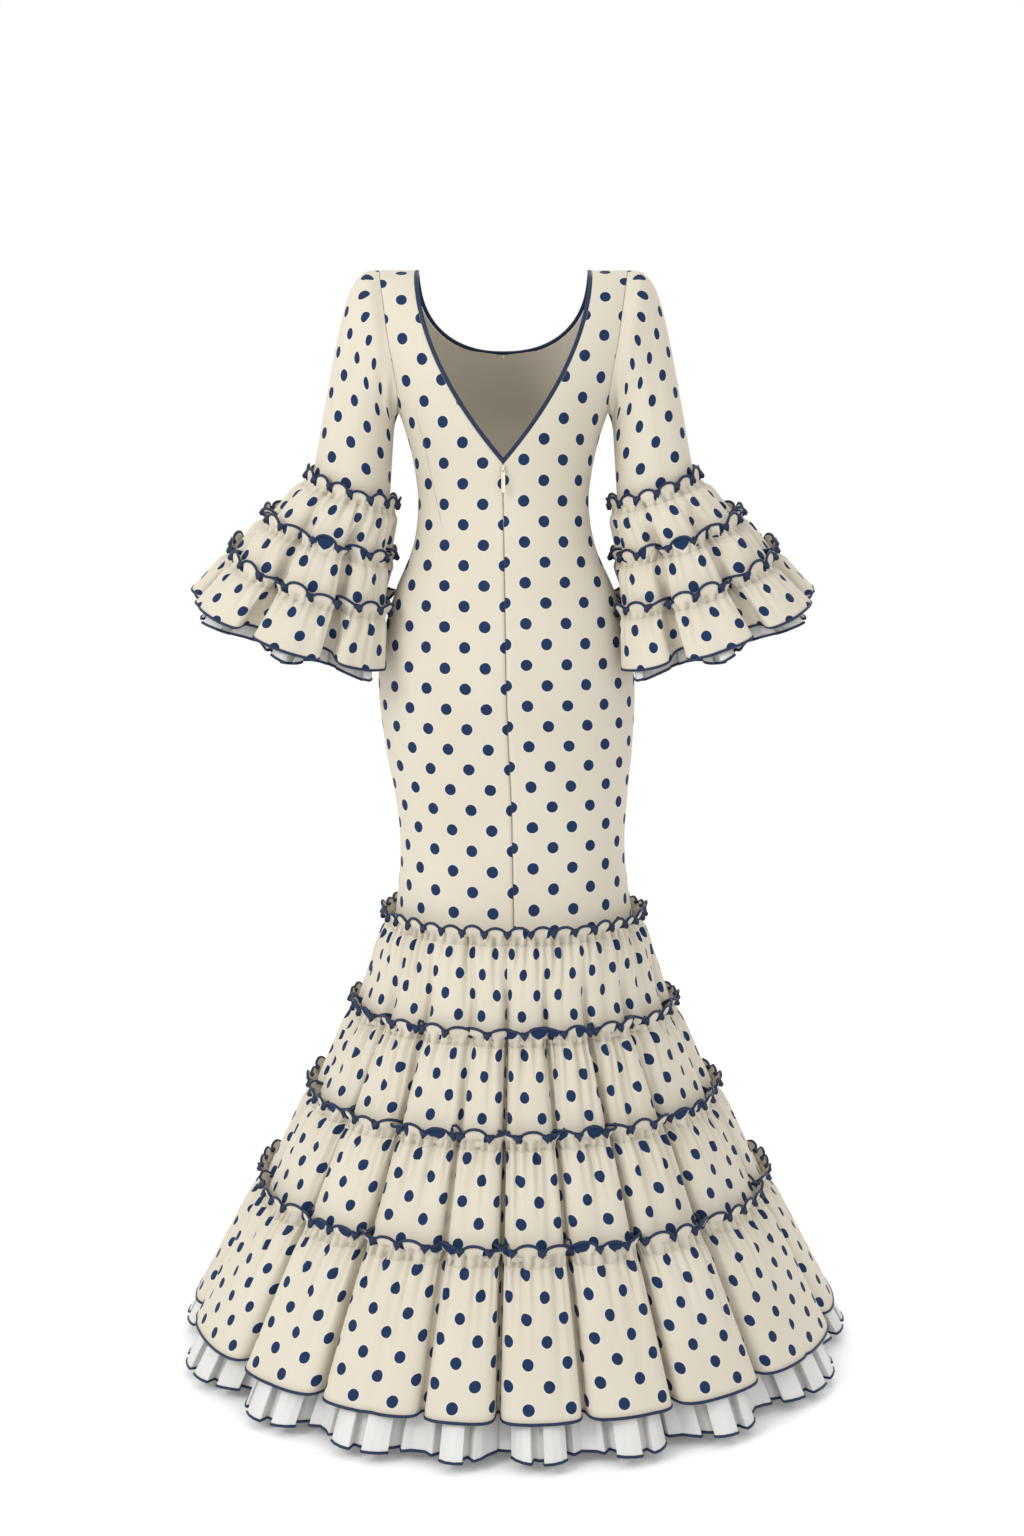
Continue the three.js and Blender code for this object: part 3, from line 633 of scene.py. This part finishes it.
sleeve = {"columns": 84, "rows": 70, "wall": 0.0014, "armholeGap": 0.0006, "rowCrowding": 1.35,
          "cornerRound": 0.25}
sleeveColumns = ("outerX", "outerZ", "innerX", "innerZ", "halfDepth", "y")
sleeveRows = [
    (186, -4, 143.5, -195, 60, 0), (206, -32, 146, -206, 57, -1),
    (226, -110, 148, -222, 53, -2), (258, -279, 154, -314, 55, -2),
]
sleeveRings = [dict(zip(sleeveColumns, (value / 1000 for value in row))) for row in sleeveRows]
armholeHeights = np.array([0, -12, -32, -62, -98, -136, -166, -188]) / 1000
# Soft troughs of the sleeve: angle from the outer end round by the back, place down the
# sleeve, half length down, half width round, depth and slant.
sleeveFolds = [
    {"angle": 150, "at": 0.3, "long": 0.2, "wide": 13, "deep": 0.0042, "slant": 40},
    {"angle": 118, "at": 0.42, "long": 0.24, "wide": 11, "deep": 0.003, "slant": 30},
    {"angle": 70, "at": 0.75, "long": 0.3, "wide": 12, "deep": 0.0022, "slant": 10},
    {"angle": 205, "at": 0.34, "long": 0.22, "wide": 13, "deep": 0.0045, "slant": -42},
    {"angle": 262, "at": 0.55, "long": 0.3, "wide": 12, "deep": 0.0028, "slant": -18},
    {"angle": 300, "at": 0.8, "long": 0.24, "wide": 10, "deep": 0.002, "slant": -8},
    {"angle": 30, "at": 0.86, "long": 0.2, "wide": 9, "deep": 0.0018, "slant": 6},
]


def armholePoint(angle):
    steps = len(armholeHeights) - 1  # from the shoulder down to the underarm
    share = np.mod(angle, turn) / turn * 2 * steps
    lower = np.minimum(share, 2 * steps - share)
    heights = [{"z": -step, "depth": height} for step, height in enumerate(armholeHeights)]
    z = valueAt(heights, "depth", -lower)
    back, front = [panelPoint(z, panelHalfWidth(z, side), side) for side in ("back", "front")]
    point = np.where((share <= steps)[:, None], back, front)
    point[:, 1] *= np.clip(np.minimum(lower, steps - lower) / sleeve["cornerRound"], 0, 1) ** 0.5
    point[:, 0] += sleeve["armholeGap"]
    return point


def sleeveRingPoint(ring, angle):
    outer = np.array([ring["outerX"], ring["y"], ring["outerZ"]])
    inner = np.array([ring["innerX"], ring["y"], ring["innerZ"]])
    middle = (outer + inner) / 2
    point = middle + np.cos(angle)[:, None] * (outer - middle)
    point[:, 1] += ring["halfDepth"] * np.sin(angle)
    return point


def sleeveShape(hand):
    def shape(u, v):
        share = u if hand > 0 else 1 - u
        angle = (share + 0.5) * turn
        rings = [armholePoint(angle)] + [sleeveRingPoint(ring, angle) for ring in sleeveRings]
        down = v ** sleeve["rowCrowding"]
        place = down * (len(rings) - 1)
        here = np.clip(place.astype(int), 0, len(rings) - 2)
        stack = np.stack(rings)
        row = np.arange(len(u))
        before, after = np.maximum(here - 1, 0), np.minimum(here + 2, len(rings) - 1)
        start, end = stack[here, row], stack[here + 1, row]
        slopeIn = (end - stack[before, row]) / (here + 1 - before)[:, None]
        slopeOut = (stack[after, row] - start) / (after - here)[:, None]
        t = (place - here)[:, None]
        points = (2 * t**3 - 3 * t**2 + 1) * start + (t**3 - 2 * t**2 + t) * slopeIn
        points += (3 * t**2 - 2 * t**3) * end + (t**3 - t**2) * slopeOut
        middle = stack.mean(axis=1)
        axis = np.stack([np.interp(place, range(len(rings)), middle[:, k]) for k in range(3)], axis=1)
        inwards = unit(axis - points)
        for fold in sleeveFolds:
            centre = math.radians(fold["angle"]) + math.radians(fold["slant"]) * (down - fold["at"])
            away = (np.mod(angle - centre + math.pi, turn) - math.pi) / math.radians(fold["wide"])
            length = (down - fold["at"]) / fold["long"]
            points += inwards * (fold["deep"] * np.exp(-(away**2) - length**2))[:, None]
        points[:, 0] *= hand
        return points, measuredCut(points, sleeve["columns"], sleeve["rows"])

    return shape


for hand, side in ((1, "left"), (-1, "right")):
    bm = newMesh()
    addGrid(bm, sleeve["columns"], sleeve["rows"], sleeveShape(hand), closed=True)
    madePiece(bm, side + "Sleeve", [dottedCloth, plainCloth], sleeve["wall"],
                                   replaces=["sleeve_" + side])
print("sleeves made")


def foldSwing(local, spread, lean):  # widens the crest of a fold and turns its sides in
    return spread * np.sin(turn * local) / turn + lean * np.sin(2 * turn * local) / (2 * turn)


class FoldedRing:  # a fluted run of cloth seen from above: angle and depth for each share of its length
    def __init__(self, valleys, depths, radius, flute, crestSpread, wallLean, sharpness):
        starts = np.radians(np.array(valleys))
        ends = np.append(starts[1:], starts[0] + turn)
        ending = np.append(depths[1:], depths[0])
        local = np.linspace(-0.5, 0.5, 80, endpoint=False)
        angles, shares = [], []
        for start, end, deepFrom, deepTo in zip(starts, ends, depths, ending):
            swing = foldSwing(local, crestSpread, wallLean)
            angles.append((start + end) / 2 + (end - start) * (local + swing))
            hollow = ((1 - np.cos(turn * local)) / 2) ** sharpness
            shares.append(hollow * between(deepFrom, deepTo, local + 0.5))
        self.angles = np.append(np.concatenate(angles), starts[0] + turn)
        self.depths = np.append(np.concatenate(shares), depths[0])
        steps = np.hypot(np.diff(self.angles) * radius, np.diff(self.depths) * flute)
        run = np.concatenate([[0], np.cumsum(steps)])
        self.length = run[-1]
        self.share = run / run[-1]

    def angle(self, share):
        return np.interp(share, self.share, self.angles)

    def depth(self, share):
        return np.interp(share, self.share, self.depths)


def makeCreases(seed, around, sizes):
    pick = random.Random(seed)
    creases = []
    at = 0.0
    while at < around - sizes["spacing"][0] * 0.7:
        creases.append({
            "at": at / around,
            "depth": pick.uniform(*sizes["depth"]),
            "width": pick.uniform(*sizes["width"]) / around,
            "length": pick.uniform(*sizes["length"]) * pick.uniform(0.6, 1.4),
        })
        at += pick.uniform(*sizes["spacing"])
    return creases


def creaseDepth(creases, share, drop):
    depth = np.zeros_like(share)
    for crease in creases:
        away = np.abs(share - crease["at"])
        away = np.minimum(away, 1 - away)
        near = away < 3 * crease["width"]
        fade = np.clip(1 - np.abs(drop[near]) / crease["length"], 0, 1)
        trough = crease["depth"] * np.exp(-((away[near] / crease["width"]) ** 2))
        depth[near] += trough * fade ** opening["creasePower"]
    return depth


# How a ruffle opens out below its gathers.
opening = {"speed": 1.35, "flutePower": 0.55, "swellTop": 0.2, "creasePower": 1.1}


class Ruffle:  # spot(angle, out, t) places a point: out beyond the crest, t 0 at the gathers, 1 at the hem
    def __init__(self, spot, winding, height, topRing, hemRing, flute, bulge, creases,
                 fullness=1.0, lift=0.0):
        self.spot = spot
        self.winding = winding
        self.height = height
        self.topRing = topRing
        self.hemRing = hemRing
        self.flute = flute
        self.bulge = bulge
        self.creases = creases
        self.lift = lift
        self.cutLength = hemRing.length * fullness

    def surface(self, share, t, creased=True):
        opened = ease(np.clip(t, 0, 1) * opening["speed"])
        angle = between(self.topRing.angle(share), self.hemRing.angle(share), opened)
        depth = between(self.topRing.depth(share), self.hemRing.depth(share), opened)
        flute = between(self.flute[0], self.flute[1], np.clip(t, 0, 1) ** opening["flutePower"])
        top = opening["swellTop"]
        rise = np.sin(np.clip(t / top, 0, 1) * math.pi / 2)
        swell = self.bulge * rise * (1 - np.clip((t - top) / (1 - top), 0, 1))
        out = swell - flute * depth
        for creases in self.creases if creased else ():
            out = out - creaseDepth(creases, share, np.clip(t, 0, 2) * self.height)
        return self.spot(angle, out, t * (1 - self.lift * depth))

    def frames(self, share, t, creased=True):  # point, sideways, outwards and down the cloth
        step = 2e-4
        here = self.surface(share, t, creased)
        ahead = self.surface(np.mod(share + step, 1), t, creased)
        behind = self.surface(np.mod(share - step, 1), t, creased)
        sideways = unit(ahead - behind)
        down = unit(self.surface(share, t + 0.02, creased) - here)
        outwards = unit(np.cross(sideways, down)) * self.winding
        return here, sideways, outwards, down


heading = {
    "columns": 20,
    "rows": 5,
    "spread": 0.85,
    "lean": 1.3,
    "petal": 0.0105,
    "stand": 0.001,
    "loop": 0.0075,
    "loopShare": 0.1,
    "edgeHalf": 0.0019,
    "knotSwell": 1.25,
    "overlap": 0.06,
    "rowCrowding": 1.2,
    "blend": 0.45,
    "valleyArch": 0.12,
    "wide": (0.75, 1.25),
    "tall": (0.85, 1.12),
}
cutTop = 0.05  # where the gathers lie in a ruffle's flat cut
ruffleWall = 0.0012


def pinch(local):  # 1 where two petals meet, 0 along a petal
    return np.exp(-(((0.5 - np.abs(local)) / heading["loopShare"]) ** 2))


def headingPoint(ruffle, share, up, waves, height, seed):  # up 0 at the gathers, 1 at the top edge
    wave = share * waves
    number = np.floor(np.mod(wave, waves)).astype(int)
    local = wave - np.floor(wave) - 0.5
    pick = random.Random(seed)
    sizes = [[pick.uniform(*heading["wide"]), pick.uniform(*heading["tall"])] for _ in range(waves)]
    sizes = np.array(sizes)
    calm = np.cos(local * math.pi) ** 2
    big, tall = between(1.0, sizes[number, 0], calm), between(0.97, sizes[number, 1], calm)
    low = np.clip(-up, 0, 1)
    smooth, sideways, outwards, down = ruffle.frames(np.mod(share, 1), low, False)
    gathered = ruffle.surface(np.mod(share, 1), low)
    here = between(gathered, smooth, ease(up / heading["blend"])[:, None])
    up = np.clip(up, 0, 1)
    swing = foldSwing(local, heading["spread"], heading["lean"])
    petal = (0.5 + 0.5 * np.cos(turn * local)) ** 0.8 * heading["petal"] * big
    out = heading["stand"] * up + (petal + heading["loop"] * pinch(local)) * up**0.8
    arch = between(heading["valleyArch"], 1.0, np.sqrt(np.maximum(1 - (2 * (local + swing)) ** 2, 0)))
    rise = height * tall * up * arch
    shift = ruffle.topRing.length / waves * swing * up**0.7
    climb = unit(np.array([0, 0, 1]) - down)
    return here + sideways * shift[:, None] + outwards * out[:, None] + climb * rise[:, None]


def edgeFrames(path):  # sideways and outwards for a closed run that wanders
    along = unit(np.roll(path, -1, axis=0) - np.roll(path, 1, axis=0))
    upwards = np.tile([0.0, 0.0, 1.0], (len(path), 1))
    aside = unit(np.cross(along, upwards))
    return aside, unit(np.cross(aside, along))


def ruffleCloth(name, ruffle, columns, rows, waves, headingHeight, seed, replaces, edgeNode):
    bm = newMesh()
    reverse = ruffle.winding > 0
    length = ruffle.cutLength

    def mainShape(u, v):
        share = 1 - u if reverse else u
        t = v ** heading["rowCrowding"]
        return ruffle.surface(share, t), np.stack([share * length, cutTop + t * ruffle.height], axis=1)

    def headingShape(u, v):
        share = 1 - u if reverse else u
        up = 1 - (1 + heading["overlap"]) * v
        points = headingPoint(ruffle, share, up, waves, headingHeight, seed)
        return points, np.stack([share * length, cutTop - up * headingHeight], axis=1)

    addGrid(bm, columns, rows, mainShape, closed=True)
    addGrid(bm, waves * heading["columns"], heading["rows"], headingShape, closed=True)
    cloths = [dottedCloth, plainCloth]
    cloth = madePiece(bm, name + "Cloth", cloths, ruffleWall, replaces=[replaces])
    count = waves * heading["columns"]
    share = np.arange(count) / count
    path = headingPoint(ruffle, share, np.ones(count), waves, headingHeight, seed)
    aside, upright = edgeFrames(path)
    local = np.mod(share * waves, 1) - 0.5
    half = heading["edgeHalf"] * (1 + heading["knotSwell"] * pinch(local))
    edge = cordLike(name + "HeadingEdge", path, aside, upright, half, half * 1.05, 6, [edgeNode])
    return cloth, edge


def hemEdge(name, ruffle, count, halfWidth, halfDepth, node):
    share = np.arange(count) / count
    here, _, outwards, down = ruffle.frames(share, np.ones(count))
    path = here - outwards * ruffleWall / 2
    return cordLike(name, path, outwards, down, halfWidth, halfDepth, 6, [node])


skirt = {
    "x": -0.014,
    "headingHeight": 0.0125,
    "overlap": 0.004,
    "layer": 0.0018,
    "valleys": [2.7, 15.1, 34, 53.5, 82, 110, 138, 166, 194, 222, 252, 283, 314, 332.6, 348.4],
    "depths": [1, 0.72, 1, 1, 0.9, 1, 0.8, 0.95, 1, 0.85, 1, 0.9, 1, 1, 0.9],
}
skirtLines = [
    {"z": -0.873, "crest": 0.1745, "flute": 0.001, "bulge": 0.004},
    {"z": -0.996, "crest": 0.222, "flute": 0.017, "bulge": 0.005},
    {"z": -1.114, "crest": 0.282, "flute": 0.026, "bulge": 0.006},
    {"z": -1.239, "crest": 0.351, "flute": 0.031, "bulge": 0.006},
    {"z": -1.410, "crest": 0.448, "flute": 0.038, "bulge": 0.0},
]
# spread and lean turn the sides of the flutes in, a higher sharp narrows their valleys.
tierSizes = [
    {"waves": 37, "columns": 680, "rows": 19, "spread": 0.9, "lean": 0.3, "sharp": 1.6, "fullness": 1.22},
    {"waves": 48, "columns": 840, "rows": 19, "spread": 1.15, "lean": 0.5, "sharp": 1.5, "fullness": 1.14},
    {"waves": 61, "columns": 1000, "rows": 20, "spread": 1.2, "lean": 0.55, "sharp": 1.45, "fullness": 1.05},
    {"waves": 75, "columns": 1250, "rows": 22, "spread": 1.25, "lean": 0.55, "sharp": 1.4, "fullness": 1.0},
]
tierGathers = {
    "spacing": (0.0095, 0.0175),
    "depth": (0.004, 0.0105),
    "width": (0.0022, 0.0034),
    "length": (0.05, 0.14),
}
tierFolds = {
    "spacing": (0.036, 0.075),
    "depth": (0.003, 0.0085),
    "width": (0.006, 0.012),
    "length": (0.12, 0.32),
}


def tierSpot(number):
    line, below = skirtLines[number], skirtLines[number + 1]
    isLast = number + 2 == len(skirtLines)
    hem = below["z"] - (0 if isLast else skirt["overlap"])
    hemCrest = below["crest"] - (0 if isLast else skirt["layer"])
    height = line["z"] - hem

    def spot(angle, out, t):
        radius = between(line["crest"], hemCrest, t) + out
        return stacked(skirt["x"] + radius * np.sin(angle), radius * np.cos(angle), line["z"] - t * height)

    return spot, math.hypot(height, hemCrest - line["crest"])


def plainRing(radius):
    level = np.zeros(len(skirt["valleys"]))
    return FoldedRing(skirt["valleys"], level, radius, 0.0, 0.0, 0.0, 1.0)


tiers, tierPieces = [], []
ringAbove = plainRing(skirtLines[0]["crest"])
for number, sizes in enumerate(tierSizes):
    line, below = skirtLines[number], skirtLines[number + 1]
    spot, height = tierSpot(number)
    depths = np.array(skirt["depths"])
    ring = FoldedRing(skirt["valleys"], depths, below["crest"], below["flute"],
                      sizes["spread"], sizes["lean"], sizes["sharp"])
    around = ringAbove.length
    creases = [makeCreases(40 + number, around, tierGathers), makeCreases(60 + number, around, tierFolds)]
    flutes = (line["flute"], below["flute"])
    ruffle = Ruffle(spot, 1, height, ringAbove, ring, flutes, line["bulge"], creases, sizes["fullness"])
    name = f"tier{number + 1}"
    node = f"tier_{number + 1}"
    cloth, edge = ruffleCloth(name, ruffle, sizes["columns"], sizes["rows"], sizes["waves"],
                              skirt["headingHeight"], 80 + number, node, node + "_heading_edge")
    tiers.append(ruffle)
    tierPieces.append([cloth, edge])
    ringAbove = ring
tierPieces[-1].append(hemEdge("tier4HemEdge", tiers[-1], 1250, 0.0018, 0.0021, "tier_hem_edge"))
print("skirt tiers made")

# One box pleat: share of the columns, run along the hem, and how far back the cloth lies.
pleatRows = [
    (0.00, 0.00, 0.1), (0.05, 0.012, 0.0), (0.2, 0.22, -0.06), (0.35, 0.45, -0.06), (0.5, 0.655, 0.0),
    (0.55, 0.668, 0.1), (0.6, 0.645, 0.55), (0.65, 0.59, 0.95), (0.7, 0.6, 1.05), (0.82, 0.83, 1.0),
    (0.94, 1.065, 1.05), (0.97, 1.07, 0.95), (1.0, 1.0, 0.1),
]
topFold = 0.55  # how deep a pleat is at its hidden top, against its hem
pleatTilt = 0.15
underRuffle = {"pleats": 58, "columns": 13, "rows": 9, "fold": 0.015, "wall": 0.0008}
sleeveUnder = {"pleats": 26, "columns": 13, "rows": 7, "fold": 0.008, "wall": 0.0008, "flute": 0.052}


def pleatPoint(ruffle, share, drop, sizes, levels):  # drop 0 at the hidden top, 1 at the hem
    pleats = share * sizes["pleats"]
    number = np.floor(pleats + 1e-6)
    local = np.clip(pleats - number, 0, 1)
    table = np.array(pleatRows)
    run = np.interp(local, table[:, 0], table[:, 1])
    back = np.interp(local, table[:, 0], table[:, 2]) * sizes["fold"] * between(topFold, 1.0, drop)
    t = between(levels["topT"], levels["hemT"], drop)
    inset = between(levels["topInset"], levels["hemInset"], drop)
    place = np.mod((number + run) / sizes["pleats"], 1)
    here, _, outwards, _ = ruffle.frames(place, np.minimum(t, 1.0))
    beyond = ruffle.frames(place, np.ones_like(t))[3]
    here = here + beyond * (np.maximum(t - 1, 0) * ruffle.height)[:, None]
    level = unit(outwards * np.array([1, 1, pleatTilt]))  # the folds stand back nearly level
    return here - level * (inset + back)[:, None]


def pleatedCut(ruffle, sizes, levels):  # flat width and height, with every pleat opened out
    table = np.array(pleatRows)
    pitch = ruffle.hemRing.length / sizes["pleats"]
    runs = np.hypot(np.diff(table[:, 1]) * pitch, np.diff(table[:, 2]) * sizes["fold"])
    return sizes["pleats"] * runs.sum(), (levels["hemT"] - levels["topT"]) * ruffle.height


def pleatedCloth(name, ruffle, sizes, levels, nodes):
    reverse = ruffle.winding > 0
    flatSize = pleatedCut(ruffle, sizes, levels)
    count = sizes["pleats"] * (sizes["columns"] - 1)
    picks = np.array([row[0] for row in pleatRows])

    def shareOf(u):  # columns stand on the corners of the pleats
        step = np.rint((1 - u if reverse else u) * count).astype(int)
        pleat, corner = step // (sizes["columns"] - 1), step % (sizes["columns"] - 1)
        return (pleat + picks[corner]) / sizes["pleats"]

    def shape(u, v):
        share = shareOf(u)
        points = pleatPoint(ruffle, share, v, sizes, levels)
        return points, np.stack([share * flatSize[0], v * flatSize[1]], axis=1)

    bm = newMesh()
    addGrid(bm, count, sizes["rows"], shape, closed=True, smooth=False)
    cloth = madePiece(bm, name + "Cloth", [organza], sizes["wall"], [nodes[0]])
    share = shareOf(np.arange(count) / count)
    path = pleatPoint(ruffle, share, np.ones(count), sizes, levels)
    aside, upright = edgeFrames(path)
    edge = cordLike(name + "Edge", path, aside, upright, 0.0014, 0.0019, 6, [nodes[1]])
    return cloth, edge, flatSize


softRing = FoldedRing(skirt["valleys"], np.array(skirt["depths"]), skirtLines[-1]["crest"],
                      skirtLines[-1]["flute"], 0.55, 0.1, 1.0)
lastTier = tiers[-1]
underFlutes = Ruffle(lastTier.spot, 1, lastTier.height, lastTier.topRing, softRing, lastTier.flute, 0.0, ())
# Heights are shares of the last tier's: the hidden top 61 mm below its gathers, the hem 213 mm.
underLevels = {"topT": 61 / 171, "hemT": 213 / 171, "topInset": 0.004, "hemInset": 0.006}
underCloth, underEdge, underCut = pleatedCloth("underRuffle", underFlutes, underRuffle, underLevels,
                                               ["under_ruffle", "under_ruffle_edge"])
print("under-ruffle made")

flounce = {
    "headingHeight": 0.0125,
    "layerStep": 0.0026,
    "bodyRoom": 0.0105,
    "bodyRoomStep": 0.0015,
    "bodyPress": 0.008,
    "fullness": 1.06,
    "hemLift": 0.1,
    "valleys": [14, 66, 114, 168, 215, 262, 312],
    "depths": [1, 0.85, 1, 0.9, 1, 0.8, 0.95],
}
flounceColumns = ("x", "y", "z", "radius", "rise", "fall", "flute")
flounceRows = [
    (0.2065, -0.002, -0.298, 0.060, 18.5, 6, 0.003), (0.237, 0.005, -0.358, 0.090, 18, 8, 0.02),
    (0.256, 0.013, -0.413, 0.118, 18, 11, 0.03), (0.280, 0.021, -0.471, 0.150, 19, 10, 0.046),
]
flounceRings = [dict(zip(flounceColumns, row)) for row in flounceRows]
flounceSizes = [
    {"waves": 14, "columns": 300, "rows": 14, "spread": 0.8, "lean": 0.5, "sharp": 1.3, "bulge": 0.007},
    {"waves": 21, "columns": 400, "rows": 14, "spread": 1.0, "lean": 0.7, "sharp": 1.3, "bulge": 0.007},
    {"waves": 28, "columns": 500, "rows": 16, "spread": 0.9, "lean": 1.25, "sharp": 1.25, "bulge": 0.005},
]
flounceGathers = {
    "spacing": (0.009, 0.016),
    "depth": (0.003, 0.008),
    "width": (0.002, 0.0032),
    "length": (0.03, 0.075),
}
flounceFolds = {
    "spacing": (0.03, 0.06),
    "depth": (0.0025, 0.0065),
    "width": (0.0055, 0.01),
    "length": (0.06, 0.13),
}


def flounceSpot(number, hand):
    start, end = flounceRings[number], flounceRings[number + 1]

    def spot(angle, out, t):
        here = {key: between(start[key], end[key], t) for key in flounceColumns}
        rise, fall = np.radians(here["rise"]), np.radians(here["fall"])
        away = stacked(np.cos(rise), 0.0, np.sin(rise))
        behind = stacked(0.0, np.cos(fall), -np.sin(fall))
        layer = flounce["layerStep"] * (1 - np.clip(t, 0, 1))
        radius = here["radius"] + layer + out
        point = stacked(here["x"], here["y"], here["z"]) + away * (radius * np.cos(angle))[:, None]
        point = point + behind * (radius * np.sin(angle))[:, None]
        room = flounce["bodyRoom"] + (2 - number) * flounce["bodyRoomStep"]
        reach = bodyReach(point[:, 2], point[:, 1], room)
        gap = point[:, 0] - reach
        point[:, 0] = reach + (gap + np.sqrt(gap**2 + flounce["bodyPress"] ** 2)) / 2  # kept off the body
        point[:, 0] *= hand
        return point

    startPoint = np.array([start[key] for key in ("x", "y", "z")])
    endPoint = np.array([end[key] for key in ("x", "y", "z")])
    drop = np.linalg.norm(endPoint - startPoint)
    return spot, math.hypot(drop, end["radius"] - start["radius"])


def addFlounces(side, hand):
    pieces = []
    level = np.zeros(len(flounce["valleys"]))
    above = FoldedRing(flounce["valleys"], level, flounceRings[0]["radius"], 0.0, 0.0, 0.0, 1.0)
    for number, sizes in enumerate(flounceSizes):
        start, end = flounceRings[number], flounceRings[number + 1]
        spot, height = flounceSpot(number, hand)
        ring = FoldedRing(flounce["valleys"], np.array(flounce["depths"]), end["radius"], end["flute"],
                          sizes["spread"], sizes["lean"], sizes["sharp"])
        seed = 100 + number + (10 if hand < 0 else 0)
        creases = [makeCreases(seed, above.length, flounceGathers),
                   makeCreases(seed + 20, above.length, flounceFolds)]
        ruffle = Ruffle(spot, -hand, height, above, ring, (start["flute"], end["flute"]), sizes["bulge"],
                        creases, flounce["fullness"], flounce["hemLift"])
        name = f"{side}Flounce{number + 1}"
        node = f"flounce_{number + 1}"
        cloth, edge = ruffleCloth(name, ruffle, sizes["columns"], sizes["rows"], sizes["waves"],
                                  flounce["headingHeight"], seed + 40, f"{node}_{side}",
                                  f"{node}_heading_edge_{side}")
        pieces.append([(ruffle.cutLength, ruffle.height + flounce["headingHeight"]), cloth, edge])
        above = ring
    pieces[-1].append(hemEdge(side + "FlounceHemEdge", ruffle, 500, 0.0017, 0.0019,
                              "flounce_hem_edge_" + side))
    softRing = FoldedRing(flounce["valleys"], np.array(flounce["depths"]), flounceRings[-1]["radius"],
                          sleeveUnder["flute"], 0.35, 0.2, 0.72)
    flutes = (flounceRings[-2]["flute"], sleeveUnder["flute"])
    ruffle = Ruffle(ruffle.spot, ruffle.winding, ruffle.height, ruffle.topRing, softRing, flutes, 0.0, ())
    levels = {"topT": 0.5, "hemT": 1.2, "topInset": 0.005, "hemInset": 0.007}
    under = pleatedCloth(side + "SleeveUnder", ruffle, sleeveUnder, levels,
                         ["sleeve_under_ruffle_" + side, "sleeve_under_edge_" + side])
    return pieces, under


leftFlounces, leftUnder = addFlounces("left", 1)
rightFlounces, rightUnder = addFlounces("right", -1)
print("flounces made")

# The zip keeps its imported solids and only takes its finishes.
for node, finish in (("zip_tape", tape), ("zip_slider", enamel), ("zip_pull", enamel)):
    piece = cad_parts[node]
    piece.data.materials.clear()
    piece.data.materials.append(finish)

# The cut of each sheet, laid flat.
for ruffle, made in zip(tiers, tierPieces):
    flatSize = (ruffle.cutLength, ruffle.height + skirt["headingHeight"])

studio = {"floorSize": 14, "belowHem": 0.012, "floorGlow": 0.09, "air": 1.0}
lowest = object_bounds()[0].z
floor = bmesh.new()
bmesh.ops.create_grid(floor, x_segments=1, y_segments=1, size=studio["floorSize"])
bmesh.ops.translate(floor, verts=floor.verts, vec=(0, 0, lowest - studio["belowHem"]))
floorMesh = bpy.data.meshes.new("studioFloor")
floor.to_mesh(floorMesh)
floor.free()
floorPiece = bpy.data.objects.new("studioFloor", floorMesh)
bpy.context.scene.collection.objects.link(floorPiece)
paleFloor = Finish("paleFloor", (0.93, 0.93, 0.93), 0.9)
paleFloor.surface.inputs["Emission Color"].default_value = (1, 1, 1, 1)
paleFloor.surface.inputs["Emission Strength"].default_value = studio["floorGlow"]
floorMesh.materials.append(paleFloor.material)
floorPiece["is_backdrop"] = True

world = bpy.data.worlds.new("studio")
world.use_nodes = True
world.node_tree.nodes["Background"].inputs[0].default_value = (1, 1, 1, 1)
world.node_tree.nodes["Background"].inputs[1].default_value = studio["air"]
bpy.context.scene.world = world
bpy.context.scene.view_settings.view_transform = "Standard"

lights = {
    "keySoftbox": {"place": (2.8, 2.5, 1.3), "aim": (0, 0, -0.8), "size": 1.5, "power": 66},
    "fillSoftbox": {"place": (-2.4, 3.0, 0.4), "aim": (0, 0, -0.8), "size": 2.4, "power": 10},
    "topSoftbox": {"place": (0.2, 0.4, 2.6), "aim": (0, 0, -0.7), "size": 3.0, "power": 8},
    "frontFill": {"place": (-1.0, -3.2, 1.2), "aim": (0, 0, -0.7), "size": 2.0, "power": 40},
}
for name, light in lights.items():
    lamp = bpy.data.lights.new(name, "AREA")
    lamp.shape = "SQUARE"
    lamp.size = light["size"]
    lamp.energy = light["power"]
    holder = bpy.data.objects.new(name, lamp)
    holder.location = light["place"]
    aim = Vector(light["aim"]) - Vector(light["place"])
    holder.rotation_euler = aim.to_track_quat("-Z", "Y").to_euler()
    bpy.context.scene.collection.objects.link(holder)

view = {"place": (-0.0115, 2.9, -0.317), "tiltDown": 6.895, "lens": 50}
camera = bpy.data.cameras.new("camera")
camera.lens = view["lens"]
camera.sensor_width = 36
holder = bpy.data.objects.new("camera", camera)
holder.location = view["place"]
holder.rotation_euler = (math.radians(90 - view["tiltDown"]), 0, math.pi)
bpy.context.scene.collection.objects.link(holder)
bpy.context.scene.camera = holder

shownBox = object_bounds()
sizes = {"cad": [list(corner) for corner in cadBox], "visual": [list(corner) for corner in shownBox]}
print("scene finished")
